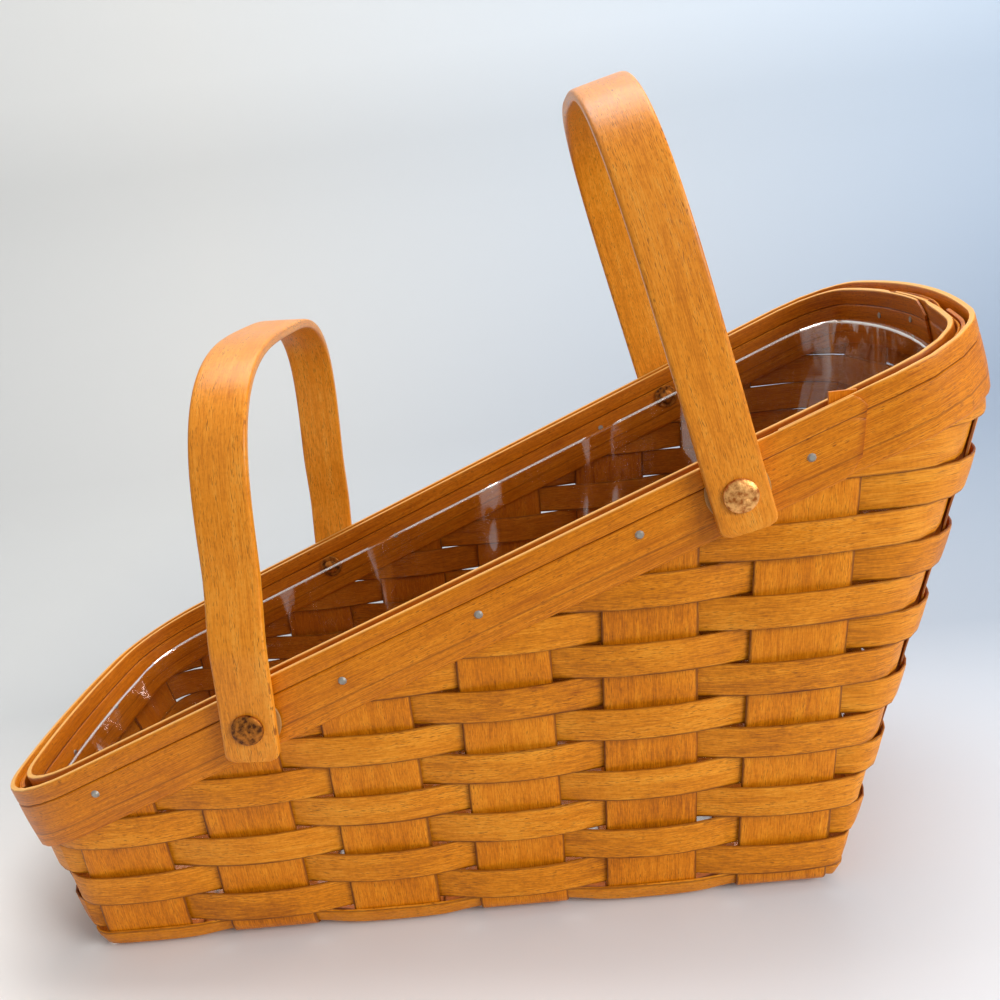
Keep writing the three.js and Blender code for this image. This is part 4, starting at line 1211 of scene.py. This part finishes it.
def hoop(name, handle, number):
    points = [(0.0, y, height) for y, height in (hoop_line(handle) * MM).tolist()]
    edges = [(i, i + 1) for i in range(len(points) - 1)]
    strip = grown(name + " strip", bending, bending_inputs, {
        "Width": HANDLE_WIDTH * MM, "Thickness": HANDLE_THICKNESS * MM, "Squareness": 0.16,
        "End rounding": 3 * MM, "Step": 0.8 * MM, "Grain number": number,
        "Wood": handle_wood}, points, edges)
    result = bored(strip, (SHANK_RADIUS + GAP) * MM)
    pivot = ((handle["x"] + SHIFT) * MM, 0, float(rivet_height(handle)) * MM)
    lean = Matrix.Rotation(math.radians(handle["lean"]), 4, "Y")
    result.transform(Matrix.Translation(pivot) @ lean)
    result.name = name
    turn_outwards(result)
    return finish_edges(in_scene(name, result))


low_hoop = hoop("low_hoop", LOW_HANDLE, 1.7)
tall_hoop = hoop("tall_hoop", TALL_HANDLE, 5.3)

# %% [markdown]
# ## Rivets, burrs and spacers
#
# A copper rivet passes through the handle, a thin spacer, the bands and the
# weave. Outside it ends in a hammered dome, inside it is peened over a washer
# that makers call a burr. These are turned parts, so their outline is spun
# round the rivet's axis. The hammer marks are pressed into the dome by
# pushing its points in with a fixed pattern. The near head of the tall handle
# is a bright copper, and the other copper is dark.

# %% Copper and plastic
def hammered_copper(name, dark, light, roughness):
    material, tree, shader = new_material(name)
    place = object_place(tree)
    coarse = noise(tree, place, 620.0, 4.0, 0.65)
    marks = add(tree, "ShaderNodeTexVoronoi", {"Vector": place, "Scale": 520.0},
                feature="SMOOTH_F1").outputs["Distance"]
    mixed = total(tree, product(tree, coarse, 0.8), product(tree, marks, 0.35))
    feed(tree, shader, {
        "Base Color": colour_ramp(tree, mixed, (0.42, dark), (0.66, light)), "Metallic": 0.75,
        "Roughness": total(tree, roughness, product(tree, coarse, 0.15)),
        "Normal": bumpy(tree, mixed, 0.7, 0.0004)})
    return material


def plain_surface(name, colour, roughness, metallic=0.0):
    """A plain finish with a fine uneven surface, for steel and plastic."""
    material, tree, shader = new_material(name)
    grit = noise(tree, object_place(tree), 900.0, 3.0)
    base = from_hex(colour)
    darker = [c * 0.72 for c in base[:3]] + [1.0]
    feed(tree, shader, {
        "Base Color": blended(tree, grit, darker, base), "Metallic": metallic,
        "Roughness": total(tree, roughness, product(tree, grit, 0.15)),
        "Normal": bumpy(tree, grit, 0.4, 0.00005)})
    return material


low_copper = hammered_copper("dark copper", "#502806", "#b56d22", 0.38)
tall_copper = hammered_copper("bright copper", "#a85a1e", "#f4b468", 0.3)
spacer_plastic = plain_surface("spacer plastic", "#b98748", 0.35)
nail_steel = plain_surface("nail steel", "#aaa69c", 0.42, metallic=0.7)


# %% Turned parts
def turned(profile, sides=36):
    """Points and faces of an outline of (radius, distance along) spun round the axis."""
    points, faces, rings = [], [], []
    for radius, along in profile:
        if radius == 0:
            rings.append([len(points)])
            points.append((0, 0, along))
            continue
        rings.append(list(range(len(points), len(points) + sides)))
        for k in range(sides):
            angle = 2 * math.pi * k / sides
            points.append((radius * math.cos(angle), radius * math.sin(angle), along))
    for a, b in zip(rings, rings[1:]):
        for k in range(sides):
            m = (k + 1) % sides
            if len(a) == 1:
                faces.append((a[0], b[k], b[m]))
            elif len(b) == 1:
                faces.append((a[k], b[0], a[m]))
            else:
                faces.append((a[k], b[k], b[m], a[m]))
    return np.array(points), faces


def aimed(points, handle, sign):
    """Turned points laid along the direction out of the basket, at a handle's rivet."""
    z = float(rivet_height(handle))
    turn = np.array([[1.0, 0, 0], [0, 0, 1.0], [0, float(sign), 0]])
    return np.array([handle["x"], sign * wall_y(z), z]) + points @ turn


def dome(radius, near, height):
    """An outline from the edge of a head up to its middle."""
    rise = [(radius, near), (radius, near + height * 0.35)]
    for t in np.linspace(0.12, 1, 7):
        rise.append((radius * math.cos(t * math.pi / 2) ** 0.8,
                     near + height * (0.35 + 0.65 * math.sin(t * math.pi / 2) ** 0.9)))
    rise[-1] = (0, near + height)
    return rise


# %% Outlines of the turned parts, as (radius, distance out of the weave)
HEAD_RADIUS, HEAD_HEIGHT, PEEN_RADIUS = 5.75, 1.9, 3.2
BORE = SHANK_RADIUS + GAP
BURR_BACK, SPACER_FAR = BURR_FAR - WASHER_THICKNESS, SPACER_NEAR + WASHER_THICKNESS
PEEN_FAR = BURR_BACK - GAP
OUTLINES = {
    "rivet": [(0, PEEN_FAR - 0.9), (2.3, PEEN_FAR - 0.72), (PEEN_RADIUS, PEEN_FAR - 0.2),
              (PEEN_RADIUS, PEEN_FAR), (SHANK_RADIUS, PEEN_FAR), (SHANK_RADIUS, HEAD_NEAR),
              *dome(HEAD_RADIUS, HEAD_NEAR, HEAD_HEIGHT)],
    "burr": [(BORE, BURR_BACK), (5.0, BURR_BACK), (BURR_RADIUS, BURR_FAR - 0.6),
             (BURR_RADIUS, BURR_FAR - 0.15), (5.1, BURR_FAR), (BORE, BURR_FAR), (BORE, BURR_BACK)],
    "spacer": [(BORE, SPACER_NEAR), (10.6, SPACER_NEAR), (SPACER_RADIUS, SPACER_NEAR + 0.2),
               (SPACER_RADIUS, SPACER_NEAR + 0.6), (10.6, SPACER_FAR), (BORE, SPACER_FAR),
               (BORE, SPACER_NEAR)],
}

# %% The twelve turned parts
DENTS, DENT_REACH, DENT_DEPTH, DENT_WIDTH = 26, 4.6, 0.16, 1.1


def hammered(points, seed):
    """A rivet's points with shallow dents in its dome."""
    rng = np.random.default_rng(seed)
    on_dome = points[:, 2] > HEAD_NEAR + 0.5
    for x, y in rng.uniform(-DENT_REACH, DENT_REACH, (DENTS, 2)):
        away = np.hypot(points[:, 0] - x, points[:, 1] - y)
        points[:, 2] -= on_dome * DENT_DEPTH * np.exp(-((away / DENT_WIDTH) ** 2))
    return points


turned_pieces = {}
for label, handle in (("low", LOW_HANDLE), ("tall", TALL_HANDLE)):
    for side, sign in (("near", -1), ("far", 1)):
        where = f"{label}_{side}"
        copper = tall_copper if where == "tall_near" else low_copper
        for kind, outline_of_kind in OUTLINES.items():
            points, faces = turned(outline_of_kind)
            if kind == "rivet":
                points = hammered(points, 7 + len(turned_pieces))
            place = aimed(points, handle, sign)
            made = piece_from(f"{kind}_{where}_turned", place, faces, np.zeros((len(place), 3)),
                              spacer_plastic if kind == "spacer" else copper)
            turn_outwards(made.data, weld=1e-6)
            turned_pieces[f"{kind}_{where}"] = finish_edges(made, 32)
print("turned pieces:", len(turned_pieces))

# %% [markdown]
# ## Nails
#
# Small steel nails clinch the two bands together through the weave. The same
# nail repeats, so a tree puts one on each point, turned to the direction that
# the point carries. The heads lie on the outer band, and the bent tips show
# as small dots inside.

# %% Nail places
SIDE_NAILS, TALL_NAILS, LOW_NAILS = [136.2, 79.5, 23, -27.5, -125.5], [27, -6], [22, -22]
SIDE_NAIL_DROP, END_NAIL_DROP, NAIL_SCATTER = 13.0, 12.0, (0.9, -0.7, 0.4)


def rim_nail(on, value, drop):
    """A point on the wall a drop below the rim's plane, and which way is out."""
    z = np.array([100.0])
    for _ in range(20):
        point, out = wall_point(on(value, z), z)
        z = rim_z(point[:, 0]) - drop
    return point[0], out[0]


nail_points, nail_outs = [], []
for on, values, drop in (
    (on_near, SIDE_NAILS, SIDE_NAIL_DROP), (on_far, SIDE_NAILS, SIDE_NAIL_DROP),
    (on_tall_end, TALL_NAILS, END_NAIL_DROP), (on_low_end, LOW_NAILS, END_NAIL_DROP),
):
    for i, value in enumerate(values):
        point, out = rim_nail(on, value, drop + NAIL_SCATTER[i % 3])
        nail_points.append(((point + [SHIFT, 0, 0]) * MM).tolist())
        nail_outs.append(out.tolist())


# %% The nailing tree
def nailing_tree():
    number = "NodeSocketFloat"
    tree, sockets = new_tree("nails", [
        ("Geometry", "NodeSocketGeometry", None), ("Head radius", number, 0.00175),
        ("Head height", number, 0.0007), ("Head place", number, 0.0048),
        ("Shank radius", number, 0.0004), ("Clinch radius", number, 0.0012),
        ("Clinch height", number, 0.0006), ("Steel", "NodeSocketMaterial", None)])
    given = tree.nodes.new("NodeGroupInput").outputs

    def at_height(solid, middle):
        return put(tree, solid.outputs["Mesh"], Offset=combined(tree, z=middle))

    def disc(radius, height, middle, sides):
        return at_height(add(tree, "GeometryNodeMeshCylinder", {
            "Vertices": sides, "Radius": radius, "Depth": height}), middle)

    cone = add(tree, "GeometryNodeMeshCone", {
        "Vertices": 9, "Radius Top": product(tree, given["Head radius"], 0.6),
        "Radius Bottom": given["Head radius"], "Depth": given["Head height"]})
    head = at_height(cone, given["Head place"])
    shank = disc(given["Shank radius"], product(tree, given["Head place"], 2.0), 0.0, 8)
    half_clinch = product(tree, given["Clinch height"], 0.5)
    inside = product(tree, total(tree, given["Head place"], half_clinch), -1.0)
    clinch = disc(given["Clinch radius"], given["Clinch height"], inside, 10)
    nail = add(tree, "GeometryNodeJoinGeometry")
    for part in (head, shank, clinch):
        tree.links.new(part, nail.inputs[0])
    turn = add(tree, "FunctionNodeAlignRotationToVector",
               {"Vector": read(tree, "out", "FLOAT_VECTOR")}, axis="Z").outputs[0]
    nails = add(tree, "GeometryNodeInstanceOnPoints",
                {"Points": given["Geometry"], "Instance": nail.outputs[0],
                 "Rotation": turn}).outputs[0]
    finished(tree, nails, given["Steel"])
    return tree, sockets


nailing, nailing_inputs = nailing_tree()
nails = in_scene("nails", grown("nails", nailing, nailing_inputs, {
    "Head radius": 1.65 * MM, "Head height": 0.8 * MM, "Head place": 4.5 * MM,
    "Shank radius": 0.4 * MM, "Clinch radius": 1.2 * MM, "Clinch height": 0.5 * MM,
    "Steel": nail_steel}, nail_points, outs=nail_outs))
finish_edges(nails)
print("nails:", len(nail_points))

# %% [markdown]
# ## The clear liner
#
# A thin box of clear plastic fills the basket and lifts out. Its top follows
# the slant, a little below the bands' top edge. It is drawn as two skins, one
# outside and one inside, joined along the top edge. The plastic is hardly
# seen face on and mirrors the room at a glance, so it is a mix of a
# see-through surface and a shiny one. A Fresnel node would turn the inner
# faces into mirrors, because the see-through part doesn't bend the light, so
# the share of the shiny part grows with the angle alone.
#
# Two things catch the light on the real liner: its cut top edge, which is a
# bright line, and slow ripples in the thin walls, which show as pale upright
# streaks. Both are drawn by leaning the shiny surface a little towards the
# light above. The attribute grain holds how far below the cut edge a point is.

# %% Liner
LINER_INSET, LINER_DROP, LINER_THICKNESS, LINER_CORNER = 8.2, 12, 1, 7
LINER_TALL_X = tall_end_x(TALL_RIM) - BAND_FAR - 1.2
LINER_STEPS = (12, 9, 9, 9, 24, 9, 9, 9, 12)  # points on each stretch of its outline
LINER_BOTTOM = OVER_LAYER + STAKE_THICKNESS / 2 + GAP


def liner_ring(z, inset, radius, limit):
    """A closed ring of points at the height z, the same number at every height."""
    parts = outline(np.array([z]), inset, radius, limit)
    ring = []
    for stretch, steps in zip(parts, LINER_STEPS):
        part = {key: value[0] for key, value in stretch.items()}
        for share in np.linspace(0, 1, steps + 1)[:-1]:
            if "r" in part:
                angle = part["start"] + part["length"] / part["r"] * share
                ring.append((part["cx"] + part["r"] * math.cos(angle),
                             part["cy"] + part["r"] * math.sin(angle), z))
            else:
                ring.append((part["x0"] + (part["x1"] - part["x0"]) * share,
                             part["y0"] + (part["y1"] - part["y0"]) * share, z))
    return np.array(ring)


def liner_wall(inset, radius, bottom):
    """Rings from the bottom up to the slanted top."""
    limit = LINER_TALL_X + LINER_INSET - inset
    heights = np.linspace(bottom, TALL_RIM, 60)
    grid = np.array([liner_ring(z, inset, radius, limit) for z in heights])
    rings = []
    for share in np.linspace(0, 1, 34):
        ring = []
        for c in range(grid.shape[1]):
            column = grid[:, c]
            over = column[:, 2] - (rim_z(column[:, 0]) - LINER_DROP)
            top = np.interp(0, over, column[:, 2])
            z = bottom + (top - bottom) * share
            ring.append([np.interp(z, column[:, 2], column[:, 0]),
                         np.interp(z, column[:, 2], column[:, 1]), z])
        rings.append(ring)
    return np.array(rings)


outside = liner_wall(LINER_INSET, LINER_CORNER, LINER_BOTTOM)
inside = liner_wall(LINER_INSET + LINER_THICKNESS, LINER_CORNER - LINER_THICKNESS,
                    LINER_BOTTOM + LINER_THICKNESS)
sections = np.concatenate([outside, inside[::-1]])


# %% Clear plastic
def clear_plastic(name):
    material, tree, shader = new_material(name)
    tree.nodes.remove(shader)
    place = object_place(tree)
    ripple = noise(tree, vector_calc(tree, "MULTIPLY", place, (60, 60, 14)), 1.0, 2.0)
    haze = noise(tree, place, 90.0, 4.0)
    streaks = remapped(tree, ripple, 0.52, 0.72, 0.0, 0.07)
    below_edge = split(tree, mesh_value(tree, "grain", "Vector"))["Y"]
    rim = remapped(tree, below_edge, 0.0004, 0.0014, 0.5, 0.0)

    rippled = bumpy(tree, ripple, 0.5, 0.0014)
    lift = total(tree, product(tree, rim, 2.0), product(tree, streaks, 7.0))
    lifted = vector_calc(tree, "NORMALIZE",
                         vector_calc(tree, "ADD", rippled, combined(tree, z=lift)))
    rough = total(tree, 0.04, product(tree, haze, 0.06))
    gloss = add(tree, "ShaderNodeBsdfGlossy",
                {"Color": (1.0, 0.93, 0.85, 1), "Roughness": rough, "Normal": lifted})
    clear = add(tree, "ShaderNodeBsdfTransparent", {"Color": (0.985, 0.985, 0.98, 1)})

    glance = add(tree, "ShaderNodeLayerWeight", {"Blend": 0.5, "Normal": rippled})
    steep = calc(tree, "POWER", glance.outputs["Facing"], 3.0)
    edge = product(tree, rim, total(tree, haze, 0.35))
    share = total(tree, product(tree, steep, 0.75), total(tree, streaks, 0.04), edge, clamp=True)
    mix = add(tree, "ShaderNodeMixShader", {0: share, 1: clear.outputs[0], 2: gloss.outputs[0]})
    tree.links.new(mix.outputs[0], tree.nodes["Material Output"].inputs["Surface"])
    return material


liner_plastic = clear_plastic("clear plastic")
flat_sections = sections.reshape(-1, 3)
liner_drop = (rim_z(flat_sections[:, 0]) - LINER_DROP - flat_sections[:, 2]) * MM
liner_grain = np.stack([0 * liner_drop, liner_drop, 0 * liner_drop], -1)
liner = piece_from("liner_box", flat_sections, skin(sections), liner_grain, liner_plastic)
finish_edges(liner)
print("liner faces:", len(liner.data.polygons))

# %% [markdown]
# ## Each piece rides on its body
#
# The imported model has four bodies: the basket, two handles and the liner.
# Every piece made here stands for one or more CAD nodes and moves with their
# body.

# %% Ride and replace
for stake in stakes:
    node = stake.name.replace("_strip", "")
    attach(stake, "basket")
    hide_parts(node)
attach(rows, "basket")
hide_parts(*[f"weaver_{row:02d}" for row in range(1, 15)])
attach(tucked_row, "basket")
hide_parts("weaver_00")
for piece, node, slot, body in (
    (rim_row, "rim_weaver", "weaver_wood", "basket"),
    (outer_band, "rim_band_outer", "band_wood", "basket"),
    (inner_band, "rim_band_inner", "band_wood", "basket"),
    (low_hoop, "handle_low", "handle_wood", "low handle"),
    (tall_hoop, "handle_tall", "handle_wood", "tall handle"),
    (liner, "clear_liner", "clear_plastic", "liner"),
):
    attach(piece, body)
    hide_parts(node)
for node, piece in turned_pieces.items():
    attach(piece, "basket")
    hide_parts(node)
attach(nails, "basket")

# %% [markdown]
# ## Floor, backdrop and light
#
# The basket stands on a pale sheet that curves up behind it, a little warmer
# near the front. From just in front of the basket back to the backdrop the
# floor is painted darker, most at the right, where it is bluer too: a painted
# shadow of the basket. Far in front, under the lamp, the sheet is darker, so
# that it doesn't clip to white there. Soft light comes from a lamp at the right
# in front, a lamp above and a little behind, whose shadow falls in front of the
# basket, and a pale room all round that is brightest up at the right. All stay
# at a plain level. Seen directly or in a mirror, the room is evenly pale, which
# its Light Path node looks after, so that views from other sides get a pale
# background too.

# %% Stage
def pale_sheet():
    material, tree, shader = new_material("pale sheet")
    parts = split(tree, object_place(tree))
    side = remapped(tree, parts["X"], -0.35, 0.75)
    from_front = calc(tree, "ABSOLUTE", total(tree, parts["Y"], 0.16))
    # Painted shadow: the floor under and behind the basket is darker, standing in for its soft
    # shadow.
    floor_shadow = remapped(tree, from_front, 0.04, 0.3)
    high = remapped(tree, parts["Z"], 0.02, 0.45)
    far_front = remapped(tree, parts["Y"], -0.16, -0.6)

    def left_to_right(left, right):
        return blended(tree, side, from_hex(left), from_hex(right))

    tint = blended(tree, floor_shadow, left_to_right("#f6f0e9", "#c3cfdc"),
                   left_to_right("#c2c2c0", "#8192a8"))
    tint = blended(tree, far_front, tint, from_hex("#93918e"))
    tint = blended(tree, high, tint, left_to_right("#ecece9", "#dae9f8"))
    feed(tree, shader, {"Base Color": tint, "Roughness": 0.9, "Specular IOR Level": 0.05})
    return material


FLOOR_REACH, BEND_START, BEND_RADIUS, BACKDROP_TOP = 3.0, 0.55, 0.35, 3.0


def sweep_sheet():
    """A floor that curves up into a backdrop."""
    profile = [(-FLOOR_REACH, 0.0), (BEND_START, 0.0)]
    for angle in np.radians(np.linspace(0, 90, 13))[1:]:
        profile.append((BEND_START + BEND_RADIUS * math.sin(angle),
                        BEND_RADIUS * (1 - math.cos(angle))))
    profile.append((BEND_START + BEND_RADIUS, BACKDROP_TOP))
    points = [(x, y, z) for x in (-FLOOR_REACH, FLOOR_REACH) for y, z in profile]
    count = len(profile)
    faces = [(i, i + count, i + count + 1, i + 1) for i in range(count - 1)]
    mesh = bpy.data.meshes.new("sheet")
    mesh.from_pydata(points, [], faces)
    mesh.materials.append(pale_sheet())
    for polygon in mesh.polygons:
        polygon.use_smooth = True
    return in_scene("floor_sheet", mesh)


floor = sweep_sheet()


# %% Lamps and the pale room
def soft_lamp(name, place, aim, size, power, colour):
    lamp = bpy.data.lights.new(name, "AREA")
    lamp.shape, lamp.size, lamp.size_y = "RECTANGLE", size[0], size[1]
    lamp.energy, lamp.color = power, colour
    made = in_scene(name, lamp)
    made.location = place
    made.rotation_euler = (Vector(aim) - Vector(place)).to_track_quat("-Z", "Y").to_euler()


soft_lamp("window", (0.95, -0.75, 0.62), (0.05, 0, 0.1), (0.6, 0.5), 10.5, (0.99, 0.99, 1.0))
soft_lamp("ceiling", (0.1, 0.5, 1.6), (0, 0, 0.0), (1.3, 0.9), 22, (1.0, 0.99, 0.98))
world = bpy.data.worlds.new("pale room")
bpy.context.scene.world = world
world.use_nodes = True
tree = world.node_tree
towards = add(tree, "ShaderNodeTexCoord").outputs["Generated"]
facing = add(tree, "ShaderNodeVectorMath", {0: towards, 1: (0.75, 0.1, 0.65)},
             operation="DOT_PRODUCT").outputs["Value"]
glow = remapped(tree, facing, -0.4, 1.0, 0.2, 1.0)
ray = add(tree, "ShaderNodeLightPath").outputs
seen = calc(tree, "MAXIMUM", ray["Is Camera Ray"],
            calc(tree, "MAXIMUM", ray["Is Glossy Ray"], ray["Is Transmission Ray"]))
strength = add(tree, "ShaderNodeMix", {"Factor": seen, "A": glow, "B": 0.85}).outputs["Result"]
feed(tree, tree.nodes["Background"], {"Color": from_hex("#f1f4f8"), "Strength": strength})

# %% [markdown]
# ## The camera
#
# The camera stands close to the near side, looks down a little and is rolled,
# so the basket leans to the right in the picture. Its place and three angles
# were fitted to the photograph, and its lens fills the square frame with the
# basket.

# %% Camera
YAW, PITCH, ROLL = 0.0539, 0.2881, -0.1262
CAMERA_PLACE = Vector((0.0358968, -0.3967141, 0.2623407))
ahead = Vector((-math.sin(YAW) * math.cos(PITCH), math.cos(YAW) * math.cos(PITCH),
                -math.sin(PITCH)))
level = Vector((math.cos(YAW), math.sin(YAW), 0))
above = level.cross(ahead)
right = level * math.cos(ROLL) + above * math.sin(ROLL)
up = above * math.cos(ROLL) - level * math.sin(ROLL)
lens = bpy.data.cameras.new("camera")
lens.sensor_fit, lens.sensor_width, lens.lens = "HORIZONTAL", 36.0, 35.809
lens.clip_start, lens.clip_end = 0.01, 20
camera = in_scene("camera", lens)
axes = Matrix((right, up, -ahead)).transposed().to_4x4()
camera.matrix_world = Matrix.Translation(CAMERA_PLACE) @ axes
bpy.context.scene.camera = camera
print("camera looks along", [round(v, 3) for v in ahead])

# %% [markdown]
# ## The view transform
#
# The picture is shown with the Standard view transform. The dressed basket
# has to stay inside the CAD basket's box.

# %% View transform
bpy.context.scene.view_settings.view_transform = "Standard"
